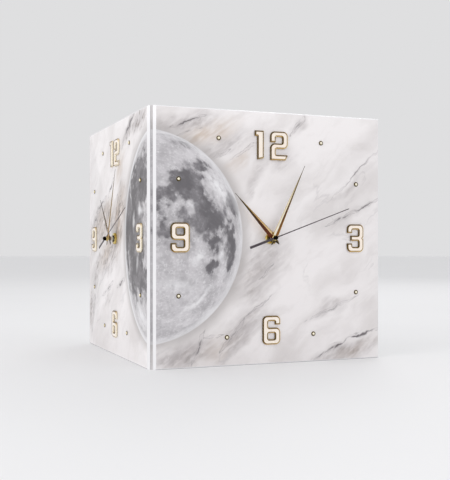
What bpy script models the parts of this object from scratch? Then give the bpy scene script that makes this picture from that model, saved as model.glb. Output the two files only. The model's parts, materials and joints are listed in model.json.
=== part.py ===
"""Double-sided corner wall clock, modelled in Blender.

Two square acrylic faces meet at a right angle and wrap the outside corner of a
wall. Behind each face a quartz movement with its gear train turns three hands.

Units are metres, +Z is up. The outer corner edge of the clock is at the lowest
x and y, the front face looks along -Y and the side face looks along -X.

Every piece of a wing is modelled lying on its back, as on a bench: x to the
right of the dial, y up the dial, z out of the dial towards the viewer, with
zero on the dial's axis at the front surface of the face plate. An empty for
each wing then stands the pieces up. "side" is +1 on the front wing, whose
corner is on the left, and -1 on the side wing, whose corner is on the right.
"""

import math

import bmesh
import bpy
from mathutils import Matrix

# Wings
FACE_WIDTH = 0.300
FACE_HEIGHT = 0.300
WING_DEPTH = 0.040
FIT_GAP = 0.0003
WELD_DISTANCE = 0.000001

# Face plates and the corner seam
PLATE_THICKNESS = 0.003
PLATE_EDGE_BEVEL = 0.0012
CORNER_CHAMFER = 0.0083
BACKING_THICKNESS = 0.003
POST_LIP = 0.012
POST_SIZE = 0.020

# Frames and back panels
RAIL_WIDTH = 0.009
BACK_PANEL_THICKNESS = 0.003
SERVICE_WINDOW = 0.064
SERVICE_WINDOW_CORNER = 0.004

# Hanger plates
HANGER_WIDTH = 0.040
HANGER_HEIGHT = 0.026
HANGER_THICKNESS = 0.0015
HANGER_BORDER = 0.006
HANGER_DROP = 0.040
KEYHOLE_RADIUS = 0.0045
KEYHOLE_SLOT = 0.0044
KEYHOLE_RISE = 0.007

# Dial layout
DIAL_FROM_CORNER = 0.151
DIAL_HEIGHT = 0.150
NUMERAL_SIDE_RADIUS = 0.1145
NUMERAL_TOP_RADIUS = 0.110
NUMERAL_WIDTH = 0.0230
NUMERAL_HEIGHT = 0.0342
NUMERAL_STEM = 0.0070
NUMERAL_BAR = 0.0062
NUMERAL_CORNER = 0.0058
NUMERAL_INNER_CORNER = 0.0016
NUMERAL_THICKNESS = 0.0020
NUMERAL_BEVEL = 0.0012
LOOP_HEIGHT = 0.0200
HOOK_DROP = 0.0106
TWO_HOOK_DROP = 0.0130
TWO_BAR_LOW = 0.0034
TWO_FOOT_SLANT = 0.0030
THREE_BAR_REACH = 0.0048
THREE_WAIST = 0.0016
ONE_WIDTH = 0.0114
ONE_FLAG = 0.0032
ONE_FLAG_DROP = 0.0063
ONE_FOOT_SLANT = 0.0018
TWELVE_SPACE = 0.0086
DOT_RING_RADIUS = 0.134
DOT_RADIUS = 0.00275
DOT_RISE = 0.0018
LOW_DOT_SIDE = 0.0566
LOW_DOT_DROP = 0.1165

# Hands: where each points, clockwise from twelve, its size and its level
HOUR_HAND_ANGLE = math.radians(316.4)
HOUR_HAND_LENGTH = 0.0715
HOUR_HAND_WIDTH = 0.0074
HOUR_HAND_TAIL = 0.0080
HOUR_HAND_LEVEL = 0.0078
MINUTE_HAND_ANGLE = math.radians(24.8)
MINUTE_HAND_LENGTH = 0.0950
MINUTE_HAND_WIDTH = 0.0066
MINUTE_HAND_TAIL = 0.0095
MINUTE_HAND_LEVEL = 0.0103
HAND_EDGE = 0.0003
HAND_RIDGE = 0.0007
HAND_SHOULDER = 0.0055
COLLAR_WALL = 0.0006
COLLAR_DEPTH = 0.0008
SECOND_HAND_ANGLE = math.radians(70.0)
SECOND_HAND_LENGTH = 0.1050
SECOND_HAND_WIDTH = 0.0012
SECOND_TIP_WIDTH = 0.0007
SECOND_TAIL_LENGTH = 0.0350
SECOND_TAIL_WIDTH = 0.0030
SECOND_HAND_THICKNESS = 0.0004
SECOND_HAND_LEVEL = 0.0134
CAP_RADIUS = 0.0026
CAP_RISE = 0.0032
CAP_SKIRT = 0.0010
CAP_DOME = 0.0018
CAP_ROOF = 0.0012

# Shaft of the movement
STEM_RADIUS = 0.0040
STEM_TOP = 0.0034
STEM_BORE = 0.0028
HOUR_TUBE_RADIUS = 0.0025
HOUR_TUBE_BORE = 0.0019
MINUTE_TUBE_RADIUS = 0.0016
MINUTE_TUBE_BORE = 0.0008
CLUTCH_RADIUS = 0.0013
SECOND_ARBOR_RADIUS = 0.0005
NUT_RADIUS = 0.0080
NUT_THICKNESS = 0.0025
NUT_CHAMFER = 0.0004
WASHER_RADIUS = 0.0090
WASHER_THICKNESS = 0.0010

# Movement housing
CASE_WIDTH = 0.056
CASE_TOP = 0.020
CASE_BOTTOM = 0.036
CASE_WALL = 0.0012
CASE_DEPTH = 0.0143
CASE_CORNER = 0.003
COVER_THICKNESS = 0.0012
DIVIDER = 0.0010
BATTERY_RADIUS = 0.0071
BATTERY_LENGTH = 0.0492
BATTERY_CHAMFER = 0.0005
BATTERY_NUB_RADIUS = 0.0027
BATTERY_NUB_LENGTH = 0.0013
BATTERY_PLAY = 0.0004
SOCKET_WALL = 0.0007
SOCKET_RISE = 0.0010
PIVOT_RADIUS = 0.0004
STUD_RADIUS = 0.0004
POST_RADIUS = 0.0009

# Gear train: teeth, tooth module and the level of each wheel's upper side
ADDENDUM = 0.6
DEDENDUM = 1.4
TRAIN_MODULE = 0.00033
SECOND_MODULE = 0.00043
MOTION_MODULE = 0.00030
ROTOR_LEAVES = 6
FIFTH_TEETH = 30
FIFTH_LEAVES = 6
SECOND_TEETH = 36
SECOND_LEAVES = 6
THIRD_TEETH = 45
THIRD_LEAVES = 6
CENTRE_TEETH = 48
CANNON_LEAVES = 12
TRANSFER_TEETH = 36
TRANSFER_LEAVES = 8
HOUR_TEETH = 32
KNOB_LEAVES = 12
THIRD_DIRECTION = math.radians(200.0)
FIFTH_DIRECTION = math.radians(60.0)
ROTOR_DIRECTION = math.radians(12.0)
TRANSFER_DIRECTION = math.radians(-60.0)
KNOB_DIRECTION = math.radians(-20.0)
WHEEL_THICKNESS = 0.0008
LEAF_MARGIN = 0.0002
HOUR_LEVEL = -0.0095
TRANSFER_LEVEL = -0.0110
CENTRE_LEVEL = -0.0126
THIRD_LEVEL = -0.0142
SECOND_LEVEL = -0.0160
FIFTH_LEVEL = -0.0176
MAGNET_RADIUS = 0.0030
MAGNET_LEVEL = -0.0132
MAGNET_DEPTH = 0.0034

# Motor and circuit
STATOR_LEVEL = -0.0135
STATOR_THICKNESS = 0.0012
STATOR_RING = 0.0052
STATOR_PLAY = 0.0004
STATOR_LEFT = -0.0220
STATOR_ARM = 0.0030
STATOR_UPPER_ARM = 0.0158
STATOR_LOWER_ARM = 0.0108
COIL_LEFT = -0.0175
COIL_RIGHT = 0.0030
COIL_HALF = 0.0024
COIL_CORNER = 0.0012
BOARD_LEFT = -0.0264
BOARD_RIGHT = -0.0134
BOARD_LOW = -0.0180
BOARD_HIGH = 0.0080
BOARD_THICKNESS = 0.0010
CHIP_RADIUS = 0.0030
CHIP_RISE = 0.0010

# Setting knob
KNOB_RADIUS = 0.0050
KNOB_THICKNESS = 0.0022
KNOB_GROOVE = 0.0005
KNOB_GROOVES = 14
KNOB_ARBOR_RADIUS = 0.0010

# Roundness of turned pieces and fillets
FINE_STEPS = 20
COARSE_STEPS = 8
FILLET_FACET = 0.002
DOME_STEPS = 3

# Levels and places worked out from the sizes above
PLATE_BACK = -PLATE_THICKNESS
BACKING_FRONT = PLATE_BACK - FIT_GAP
BACKING_BACK = BACKING_FRONT - BACKING_THICKNESS
RAIL_FRONT = BACKING_BACK - FIT_GAP
PANEL_BACK = -WING_DEPTH
PANEL_FRONT = PANEL_BACK + BACK_PANEL_THICKNESS
RAIL_BACK = PANEL_FRONT + FIT_GAP
MITRE_SHIFT = FIT_GAP / math.sqrt(2)
WASHER_FRONT = BACKING_BACK - FIT_GAP
CASE_FRONT = WASHER_FRONT - WASHER_THICKNESS - FIT_GAP
CASE_INSIDE = CASE_FRONT - CASE_WALL
CASE_BACK = CASE_FRONT - CASE_DEPTH
COVER_FRONT = CASE_BACK - FIT_GAP
COVER_BACK = COVER_FRONT - COVER_THICKNESS
HOLE_RADIUS = STEM_RADIUS + FIT_GAP
CAP_BASE = SECOND_HAND_LEVEL - CAP_SKIRT
CAP_TOP = SECOND_HAND_LEVEL + CAP_RISE
ROOM_HALF = CASE_WIDTH / 2 - CASE_WALL
BAY_FLOOR = CASE_WALL - CASE_BOTTOM
BATTERY_Y = BAY_FLOOR + BATTERY_PLAY + BATTERY_RADIUS
BATTERY_Z = CASE_INSIDE - BATTERY_PLAY - BATTERY_RADIUS
BAY_ROOF = BATTERY_Y + BATTERY_RADIUS + BATTERY_PLAY
ROOM_LOW = BAY_ROOF + DIVIDER
CASE_MIDDLE = (CASE_TOP - CASE_BOTTOM) / 2
DIAL_ABOVE = FACE_HEIGHT - DIAL_HEIGHT
DIAL_BELOW = -DIAL_HEIGHT
ARBOR_FRONT = CASE_INSIDE - FIT_GAP
ARBOR_BACK = COVER_FRONT + FIT_GAP

# Distances between the axes of the train, and the modules that they leave
THIRD_DISTANCE = (THIRD_LEAVES + CENTRE_TEETH) * TRAIN_MODULE / 2
THIRD_MODULE = 2 * THIRD_DISTANCE / (SECOND_LEAVES + THIRD_TEETH)
FIFTH_DISTANCE = (FIFTH_LEAVES + SECOND_TEETH) * SECOND_MODULE / 2
ROTOR_DISTANCE = (ROTOR_LEAVES + FIFTH_TEETH) * TRAIN_MODULE / 2
TRANSFER_DISTANCE = (CANNON_LEAVES + TRANSFER_TEETH) * MOTION_MODULE / 2
HOUR_MODULE = 2 * TRANSFER_DISTANCE / (TRANSFER_LEAVES + HOUR_TEETH)
KNOB_DISTANCE = (KNOB_LEAVES + TRANSFER_TEETH) * MOTION_MODULE / 2

# Colour, roughness and metallic value of each finish
FINISHES = {
    "printed_acrylic": ((0.84, 0.83, 0.83), 0.12, 0.0),
    "white_board": ((0.88, 0.88, 0.87), 0.60, 0.0),
    "white_lacquer": ((0.90, 0.90, 0.89), 0.40, 0.0),
    "zinc_steel": ((0.62, 0.63, 0.65), 0.35, 1.0),
    "gold_mirror": ((0.83, 0.61, 0.26), 0.22, 1.0),
    "dark_hand": ((0.14, 0.11, 0.12), 0.45, 0.4),
    "brass": ((0.78, 0.60, 0.27), 0.28, 1.0),
    "rubber": ((0.05, 0.05, 0.05), 0.85, 0.0),
    "black_case": ((0.03, 0.03, 0.03), 0.50, 0.0),
    "ivory_gear": ((0.83, 0.81, 0.72), 0.45, 0.0),
    "ferrite": ((0.10, 0.10, 0.11), 0.50, 0.3),
    "copper_wire": ((0.62, 0.25, 0.10), 0.35, 0.8),
    "green_board": ((0.05, 0.22, 0.10), 0.50, 0.0),
    "battery_jacket": ((0.13, 0.13, 0.15), 0.35, 0.2),
}


def clear_scene():
    """Remove whatever objects the file starts with."""
    for obj in list(bpy.data.objects):
        bpy.data.objects.remove(obj, do_unlink=True)


def make_materials():
    """Principled material for every finish."""
    materials = {}
    for name, (colour, roughness, metallic) in FINISHES.items():
        material = bpy.data.materials.new(name)
        material.use_nodes = True
        shader = material.node_tree.nodes["Principled BSDF"]
        shader.inputs["Base Color"].default_value = (*colour, 1.0)
        shader.inputs["Roughness"].default_value = roughness
        shader.inputs["Metallic"].default_value = metallic
        material.diffuse_color = (*colour, 1.0)
        materials[name] = material
    return materials


# Working a shape: each function takes and gives closed meshes


def scratch(data, name="scratch"):
    """Object that holds a shape while it is worked on."""
    obj = bpy.data.objects.new(name, data)
    bpy.context.scene.collection.objects.link(obj)
    return obj


def settled(obj):
    """Welded mesh of a scratch object as its modifiers leave it. The object goes."""
    graph = bpy.context.evaluated_depsgraph_get()
    graph.update()
    mesh = bpy.data.meshes.new_from_object(obj.evaluated_get(graph))
    bpy.data.objects.remove(obj, do_unlink=True)
    bm = bmesh.new()
    bm.from_mesh(mesh)
    bmesh.ops.remove_doubles(bm, verts=bm.verts, dist=WELD_DISTANCE)
    bmesh.ops.recalc_face_normals(bm, faces=bm.faces)
    bm.to_mesh(mesh)
    bm.free()
    return mesh


def combined(operation, base, others):
    """Base mesh with each of the other meshes added to it or taken out of it."""
    body = scratch(base)
    tools = [scratch(mesh, "cutter") for mesh in others]
    for tool in tools:
        tool.hide_render = True
        tool.display_type = "WIRE"
        modifier = body.modifiers.new(tool.name, "BOOLEAN")
        modifier.operation = operation
        modifier.solver = "EXACT"
        modifier.object = tool
    mesh = settled(body)
    for tool in tools:
        bpy.data.objects.remove(tool, do_unlink=True)
    return mesh


def joined(base, *others):
    """One body from overlapping meshes."""
    return combined("UNION", base, others)


def cut(base, *cutters):
    """Base mesh with the cutters taken out of it."""
    return combined("DIFFERENCE", base, cutters)


def moved(mesh, x=0.0, y=0.0, z=0.0, turn=0.0):
    """Copy of a mesh, turned about z and then shifted."""
    copy = mesh.copy()
    copy.transform(Matrix.Translation((x, y, z)) @ Matrix.Rotation(turn, 4, "Z"))
    return copy


def laid_along_x(mesh):
    """Copy of a mesh with its z axis turned to point along x."""
    copy = mesh.copy()
    copy.transform(Matrix.Rotation(math.pi / 2, 4, "Y"))
    return copy


# Basic shapes


def box(x_range, y_range, z_range):
    """Block between three pairs of limits, each given in either order."""
    ranges = [sorted(pair) for pair in (x_range, y_range, z_range)]
    size = [high - low for low, high in ranges]
    middle = [(high + low) / 2 for low, high in ranges]
    bm = bmesh.new()
    place = Matrix.Translation(middle) @ Matrix.Diagonal((*size, 1.0))
    bmesh.ops.create_cube(bm, size=1.0, matrix=place)
    mesh = bpy.data.meshes.new("box")
    bm.to_mesh(mesh)
    bm.free()
    return mesh


def prism(outlines, z_range):
    """Flat outlines, the later ones holes in the first, extruded between two levels."""
    low, high = sorted(z_range)
    curve = bpy.data.curves.new("outline", "CURVE")
    curve.dimensions = "2D"
    curve.fill_mode = "BOTH"
    curve.extrude = (high - low) / 2
    for outline in outlines:
        spline = curve.splines.new("POLY")
        spline.points.add(len(outline) - 1)
        for point, (x, y) in zip(spline.points, outline):
            point.co = (x, y, 0.0, 1.0)
        spline.use_cyclic_u = True
    return moved(settled(scratch(curve)), z=(low + high) / 2)


def upright(plan, y_range):
    """Plan outline of x and z, extruded up the dial between two heights."""
    mesh = prism([[(x, -z) for x, z in plan]], y_range)
    mesh.transform(Matrix.Rotation(-math.pi / 2, 4, "X"))
    return mesh


def turned(profile, steps=FINE_STEPS, ring=False):
    """Profile of radius and height, outer side first and top to bottom, turned about z."""
    bm = bmesh.new()
    verts = [bm.verts.new((radius, 0.0, height)) for radius, height in profile]
    pairs = list(zip(verts, verts[1:]))
    if ring:
        pairs.append((verts[-1], verts[0]))
    for first, second in pairs:
        bm.edges.new((first, second))
    mesh = bpy.data.meshes.new("turned")
    bm.to_mesh(mesh)
    bm.free()
    obj = scratch(mesh)
    screw = obj.modifiers.new("turn", "SCREW")
    screw.axis = "Z"
    screw.steps = steps
    screw.render_steps = steps
    screw.use_merge_vertices = True
    screw.merge_threshold = WELD_DISTANCE
    return settled(obj)


def rod(radius, z_range, steps=FINE_STEPS):
    """Plain round bar."""
    low, high = sorted(z_range)
    return turned([(0.0, high), (radius, high), (radius, low), (0.0, low)], steps)


def tube(radius, bore, z_range, steps=FINE_STEPS):
    """Plain round tube."""
    low, high = sorted(z_range)
    wall = [(radius, high), (radius, low), (bore, low), (bore, high)]
    return turned(wall, steps, ring=True)


# Outlines


def filleted(corners):
    """Outline through corners of x, y and fillet radius, with an arc at each round one."""
    points = []
    for index, (x, y, radius) in enumerate(corners):
        if not radius:
            points.append((x, y))
            continue
        before = corners[index - 1]
        after = corners[(index + 1) % len(corners)]
        start = math.atan2(before[1] - y, before[0] - x)
        end = math.atan2(after[1] - y, after[0] - x)
        opening = math.remainder(end - start, math.tau)
        middle = start + opening / 2
        reach = radius / math.sin(abs(opening) / 2)
        centre_x = x + reach * math.cos(middle)
        centre_y = y + reach * math.sin(middle)
        sweep = math.copysign(math.pi - abs(opening), -opening)
        steps = math.ceil(radius / FILLET_FACET)
        for step in range(steps + 1):
            angle = middle + math.pi + sweep * (step / steps - 0.5)
            points.append(
                (centre_x + radius * math.cos(angle), centre_y + radius * math.sin(angle))
            )
    return points


def rectangle(x_range, y_range, radius=0.0):
    """Outline of a rectangle with equal fillets."""
    left, right = sorted(x_range)
    low, high = sorted(y_range)
    corners = [(left, low), (right, low), (right, high), (left, high)]
    return filleted([(x, y, radius) for x, y in corners])


def circle(radius, steps=FINE_STEPS):
    """Outline of a circle."""
    turns = [math.tau * step / steps for step in range(steps)]
    return [(radius * math.cos(turn), radius * math.sin(turn)) for turn in turns]


def wing_x(from_corner, side):
    """Dial x of a distance from the clock's corner along the face."""
    return side * (from_corner - DIAL_FROM_CORNER)


def wing_stand(side):
    """Matrix that stands the pieces of a wing up at their place round the corner."""
    upright_turn = Matrix.Rotation(math.pi / 2, 4, "X")
    if side > 0:
        return Matrix.Translation((DIAL_FROM_CORNER, 0.0, DIAL_HEIGHT)) @ upright_turn
    corner_turn = Matrix.Rotation(-math.pi / 2, 4, "Z")
    place = Matrix.Translation((0.0, DIAL_FROM_CORNER, DIAL_HEIGHT))
    return place @ corner_turn @ upright_turn


def wing_plan(plan, side):
    """Plan outline of a wing, its distances from the corner made into dial x."""
    return [(wing_x(from_corner, side), z) for from_corner, z in plan]


def wing_box(from_corner, y_range, z_range, side):
    """Block of a wing, between two distances from the corner."""
    return box([wing_x(distance, side) for distance in from_corner], y_range, z_range)


# Panels and frame


def face_plate(side):
    """Acrylic face with its hour dots: mitred at the corner, its other edges bevelled."""
    inner = CORNER_CHAMFER - PLATE_THICKNESS
    plan = [
        (CORNER_CHAMFER, 0.0),
        (FACE_WIDTH, 0.0),
        (FACE_WIDTH, PLATE_BACK),
        (inner, PLATE_BACK),
    ]
    plate = upright(wing_plan(plan, side), (DIAL_BELOW, DIAL_ABOVE))
    seam_x = wing_x(CORNER_CHAMFER, side)
    bm = bmesh.new()
    bm.from_mesh(plate)
    rim = []
    for edge in bm.edges:
        ends = [vertex.co for vertex in edge.verts]
        on_front = all(abs(end.z) < WELD_DISTANCE for end in ends)
        on_seam = all(abs(end.x - seam_x) < WELD_DISTANCE for end in ends)
        if on_front and not on_seam and edge.calc_face_angle() > 1.0:
            rim.append(edge)
    bmesh.ops.bevel(bm, geom=rim, offset=PLATE_EDGE_BEVEL, segments=1, affect="EDGES")
    bm.to_mesh(plate)
    bm.free()
    drilled = cut(plate, rod(HOLE_RADIUS, (2 * PLATE_BACK, -PLATE_BACK)))
    return joined(drilled, *hour_dots())


def hour_dots():
    """Domed dots at eight of the hours, their feet sunk into the face."""
    profile = []
    for step in range(DOME_STEPS + 1):
        angle = math.pi / 2 * step / DOME_STEPS
        profile.append((DOT_RADIUS * math.sin(angle), DOT_RISE * math.cos(angle)))
    profile += [(DOT_RADIUS, PLATE_BACK / 2), (0.0, PLATE_BACK / 2)]
    dot = turned(profile, COARSE_STEPS)
    places = [(LOW_DOT_SIDE, -LOW_DOT_DROP), (-LOW_DOT_SIDE, -LOW_DOT_DROP)]
    for hour in (1, 2, 4, 8, 10, 11):
        turn = math.tau * hour / 12
        places.append((DOT_RING_RADIUS * math.sin(turn), DOT_RING_RADIUS * math.cos(turn)))
    return [moved(dot, x, y) for x, y in places]


def backing_panel(side):
    """Board behind the face, with the hole that the movement's stem goes through."""
    limits = (POST_LIP + FIT_GAP, FACE_WIDTH)
    board = wing_box(limits, (DIAL_BELOW, DIAL_ABOVE), (BACKING_FRONT, BACKING_BACK), side)
    return cut(board, rod(HOLE_RADIUS, (2 * BACKING_BACK, -BACKING_BACK)))


def corner_post():
    """Post with the narrow seam face, rebated for the two backing panels."""
    seam = CORNER_CHAMFER + math.sqrt(2) * FIT_GAP + BACKING_FRONT
    half = [
        (POST_LIP, BACKING_FRONT),
        (POST_LIP, RAIL_FRONT),
        (POST_SIZE, RAIL_FRONT),
    ]
    plan = [(seam, BACKING_FRONT), *half, (POST_SIZE, -POST_SIZE)]
    plan += [(-z, -from_corner) for from_corner, z in reversed(half)]
    plan.append((-BACKING_FRONT, -seam))
    return upright(wing_plan(plan, 1), (DIAL_BELOW, DIAL_ABOVE))


def frame(side):
    """Rails of a wing in one piece, mitred along the diagonal where the wings meet."""
    start = POST_SIZE + FIT_GAP
    plan = [
        (start, RAIL_FRONT),
        (FACE_WIDTH, RAIL_FRONT),
        (FACE_WIDTH, RAIL_BACK),
        (MITRE_SHIFT - RAIL_BACK, RAIL_BACK),
        (start, MITRE_SHIFT - start),
    ]
    block = upright(wing_plan(plan, side), (DIAL_BELOW, DIAL_ABOVE))
    inside = (DIAL_BELOW + RAIL_WIDTH, DIAL_ABOVE - RAIL_WIDTH)
    limits = (start - RAIL_WIDTH, FACE_WIDTH - RAIL_WIDTH)
    return cut(block, wing_box(limits, inside, (0.0, PANEL_BACK), side))


def back_panel(side):
    """Rear board, mitred in the inner corner, with a window and the hanger's seat."""
    plan = [
        (MITRE_SHIFT - PANEL_FRONT, PANEL_FRONT),
        (FACE_WIDTH, PANEL_FRONT),
        (FACE_WIDTH, PANEL_BACK),
        (MITRE_SHIFT - PANEL_BACK, PANEL_BACK),
    ]
    board = upright(wing_plan(plan, side), (DIAL_BELOW, DIAL_ABOVE))
    through = (PANEL_FRONT + BACK_PANEL_THICKNESS, PANEL_BACK - BACK_PANEL_THICKNESS)
    half = SERVICE_WINDOW / 2
    sides = (CASE_MIDDLE - half, CASE_MIDDLE + half)
    window = prism([rectangle((-half, half), sides, SERVICE_WINDOW_CORNER)], through)
    hanger_y = DIAL_ABOVE - HANGER_DROP
    seat_x = HANGER_WIDTH / 2 + FIT_GAP
    seat_y = HANGER_HEIGHT / 2 + FIT_GAP
    seat_level = PANEL_BACK + HANGER_THICKNESS + FIT_GAP
    seat = box(
        (-seat_x, seat_x),
        (hanger_y - seat_y, hanger_y + seat_y),
        (seat_level, PANEL_BACK - BACK_PANEL_THICKNESS),
    )
    pocket_x = seat_x - HANGER_BORDER
    pocket_y = seat_y - HANGER_BORDER
    pocket = box((-pocket_x, pocket_x), (hanger_y - pocket_y, hanger_y + pocket_y), through)
    return cut(board, window, seat, pocket)


def hanger_plate():
    """Steel plate with a keyhole for a screw in the wall, flush in the back panel."""
    middle = DIAL_ABOVE - HANGER_DROP
    low_y = -KEYHOLE_RISE / 2
    slot = KEYHOLE_SLOT / 2
    # The round part of the keyhole starts where the slot's sides meet the circle
    open_half = math.asin(slot / KEYHOLE_RADIUS)
    keyhole = [(slot, low_y + KEYHOLE_RISE), (-slot, low_y + KEYHOLE_RISE)]
    sweep = math.tau - 2 * open_half
    for step in range(FINE_STEPS // 2 + 1):
        angle = math.pi / 2 + open_half + sweep * step / (FINE_STEPS // 2)
        keyhole.append(
            (KEYHOLE_RADIUS * math.cos(angle), low_y + KEYHOLE_RADIUS * math.sin(angle))
        )
    half_x = HANGER_WIDTH / 2
    half_y = HANGER_HEIGHT / 2
    plate = rectangle((-half_x, half_x), (-half_y, half_y))
    level = (PANEL_BACK, PANEL_BACK + HANGER_THICKNESS)
    return moved(prism([plate, keyhole], level), y=middle)


# Numerals and hour dots


def numeral_one():
    """One: a stem with a square flag at the upper left and a slanted foot."""
    half, high = ONE_WIDTH / 2, NUMERAL_HEIGHT / 2
    stem = ONE_FLAG - half
    corners = [
        (stem, -high, 0),
        (half, ONE_FOOT_SLANT - high, 0),
        (half, high, 0),
        (-half, high, 0),
        (-half, high - ONE_FLAG_DROP, 0),
        (stem, high - ONE_FLAG_DROP, 0),
    ]
    return [filleted(corners)]


def numeral_two():
    """Two: hook, right side, middle bar, left side and a foot with a raised toe."""
    half, high = NUMERAL_WIDTH / 2, NUMERAL_HEIGHT / 2
    stem, bar = NUMERAL_STEM, NUMERAL_BAR
    big, small = NUMERAL_CORNER, NUMERAL_INNER_CORNER
    corners = [
        (-half, -high, 0),
        (half - TWO_FOOT_SLANT, -high, 0),
        (half, bar - high, 0),
        (stem - half, bar - high, small),
        (stem - half, -TWO_BAR_LOW, small),
        (half, -TWO_BAR_LOW, big),
        (half, high, big),
        (-half, high, big),
        (-half, high - TWO_HOOK_DROP, 0),
        (stem - half, high - TWO_HOOK_DROP, 0),
        (stem - half, high - bar, small),
        (half - stem, high - bar, small),
        (half - stem, bar - TWO_BAR_LOW, small),
        (-half, bar - TWO_BAR_LOW, big),
    ]
    return [filleted(corners)]


def numeral_three():
    """Three: two hooks on a common right side, with a short middle bar and a waist."""
    half, high = NUMERAL_WIDTH / 2, NUMERAL_HEIGHT / 2
    stem, bar = NUMERAL_STEM, NUMERAL_BAR
    big, small = NUMERAL_CORNER, NUMERAL_INNER_CORNER
    upper = [
        (half - THREE_WAIST, 0.0, 0),
        (half, THREE_WAIST, 0),
        (half, high, big),
        (-half, high, big),
        (-half, high - HOOK_DROP, 0),
        (stem - half, high - HOOK_DROP, 0),
        (stem - half, high - bar, small),
        (half - stem, high - bar, small),
        (half - stem, bar / 2, small),
        (THREE_BAR_REACH - half, bar / 2, 0),
    ]
    lower = [(x, -y, radius) for x, y, radius in reversed(upper[1:])]
    return [filleted(upper + lower)]


def numeral_six():
    """Six: a tall left side with a hook above and a closed loop below."""
    half, high = NUMERAL_WIDTH / 2, NUMERAL_HEIGHT / 2
    stem, bar = NUMERAL_STEM, NUMERAL_BAR
    big, small = NUMERAL_CORNER, NUMERAL_INNER_CORNER
    loop = LOOP_HEIGHT - high
    corners = [
        (-half, -high, big),
        (half, -high, big),
        (half, loop, big),
        (stem - half, loop, small),
        (stem - half, high - bar, small),
        (half - stem, high - bar, small),
        (half - stem, high - HOOK_DROP, 0),
        (half, high - HOOK_DROP, 0),
        (half, high, big),
        (-half, high, big),
    ]
    eye = rectangle((stem - half, half - stem), (bar - high, loop - bar), small)
    return [filleted(corners), eye]


def raised(outlines):
    """Numeral cut from sheet, with a bevel all round its front."""
    mesh = prism(outlines, (FIT_GAP, FIT_GAP + NUMERAL_THICKNESS - NUMERAL_BEVEL / 2))
    bm = bmesh.new()
    bm.from_mesh(mesh)
    front = [face for face in bm.faces if face.normal.z > 0.9]
    bmesh.ops.inset_region(
        bm, faces=front, thickness=NUMERAL_BEVEL, depth=NUMERAL_BEVEL / 2, use_even_offset=True
    )
    bm.to_mesh(mesh)
    bm.free()
    return mesh


# Hands, each pointing at twelve with its axis at zero


def lance_hand(length, tail, width, level, tube_radius):
    """Faceted lance: a kite whose faces rise to a ridge, on a collar for its tube."""
    half = width / 2
    kite = [(0.0, -tail), (half, HAND_SHOULDER), (0.0, length), (-half, HAND_SHOULDER)]
    blade = prism([kite], (level, level + HAND_EDGE))
    bm = bmesh.new()
    bm.from_mesh(blade)
    top = [face for face in bm.faces if face.normal.z > 0.9]
    bmesh.ops.dissolve_faces(bm, faces=top)
    bm.normal_update()
    top = [face for face in bm.faces if face.normal.z > 0.9]
    peak = bmesh.ops.poke(bm, faces=top)["verts"][0]
    peak.co = (0.0, HAND_SHOULDER, level + HAND_RIDGE)
    bm.to_mesh(blade)
    bm.free()
    bore = tube_radius + FIT_GAP
    collar = rod(bore + COLLAR_WALL, (level - COLLAR_DEPTH, level + HAND_EDGE))
    opening = rod(bore, (level - 2 * COLLAR_DEPTH, level + 2 * HAND_RIDGE))
    return cut(joined(blade, collar), opening)


def second_hand():
    """Thin needle with a bar for a tail, under a domed cap that grips the arbor."""
    needle, tip = SECOND_HAND_WIDTH / 2, SECOND_TIP_WIDTH / 2
    tail = SECOND_TAIL_WIDTH / 2
    outline = [
        (tip, SECOND_HAND_LENGTH),
        (-tip, SECOND_HAND_LENGTH),
        (-needle, 0.0),
        (-tail, -CAP_RADIUS),
        (-tail, -SECOND_TAIL_LENGTH),
        (tail, -SECOND_TAIL_LENGTH),
        (tail, -CAP_RADIUS),
        (needle, 0.0),
    ]
    pointer = prism([outline], (SECOND_HAND_LEVEL, SECOND_HAND_LEVEL + SECOND_HAND_THICKNESS))
    shoulder = CAP_TOP - CAP_DOME
    bore = SECOND_ARBOR_RADIUS + FIT_GAP
    profile = []
    for step in range(DOME_STEPS + 1):
        angle = math.pi / 2 * step / DOME_STEPS
        profile.append((CAP_RADIUS * math.sin(angle), shoulder + CAP_DOME * math.cos(angle)))
    profile += [(CAP_RADIUS, CAP_BASE), (bore, CAP_BASE)]
    profile += [(bore, CAP_TOP - CAP_ROOF), (0.0, CAP_TOP - CAP_ROOF)]
    cap = turned(profile)
    clear = rod(bore, (CAP_BASE, CAP_TOP - CAP_ROOF))
    return joined(cut(pointer, clear), cap)


# Nut and washer


def shaft_nut():
    """Hexagon nut that clamps the movement to the face."""
    flats = (FIT_GAP, FIT_GAP + NUT_THICKNESS)
    nut = prism([circle(NUT_RADIUS, 6), circle(HOLE_RADIUS)], flats)
    bm = bmesh.new()
    bm.from_mesh(nut)
    rim = []
    for edge in bm.edges:
        ends = [vertex.co for vertex in edge.verts]
        on_top = all(end.z > FIT_GAP + NUT_THICKNESS / 2 for end in ends)
        outside = all(end.xy.length > (NUT_RADIUS + HOLE_RADIUS) / 2 for end in ends)
        if on_top and outside and edge.calc_face_angle() > 1.0:
            rim.append(edge)
    bmesh.ops.bevel(bm, geom=rim, offset=NUT_CHAMFER, segments=1, affect="EDGES")
    bm.to_mesh(nut)
    bm.free()
    return nut


def washer():
    """Rubber ring between the movement and the backing panel."""
    return tube(WASHER_RADIUS, HOLE_RADIUS, (WASHER_FRONT, WASHER_FRONT - WASHER_THICKNESS))


# Gear train


def polar(distance, direction, origin=(0.0, 0.0)):
    """Point at a distance and direction from another."""
    return (
        origin[0] + distance * math.cos(direction),
        origin[1] + distance * math.sin(direction),
    )


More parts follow.
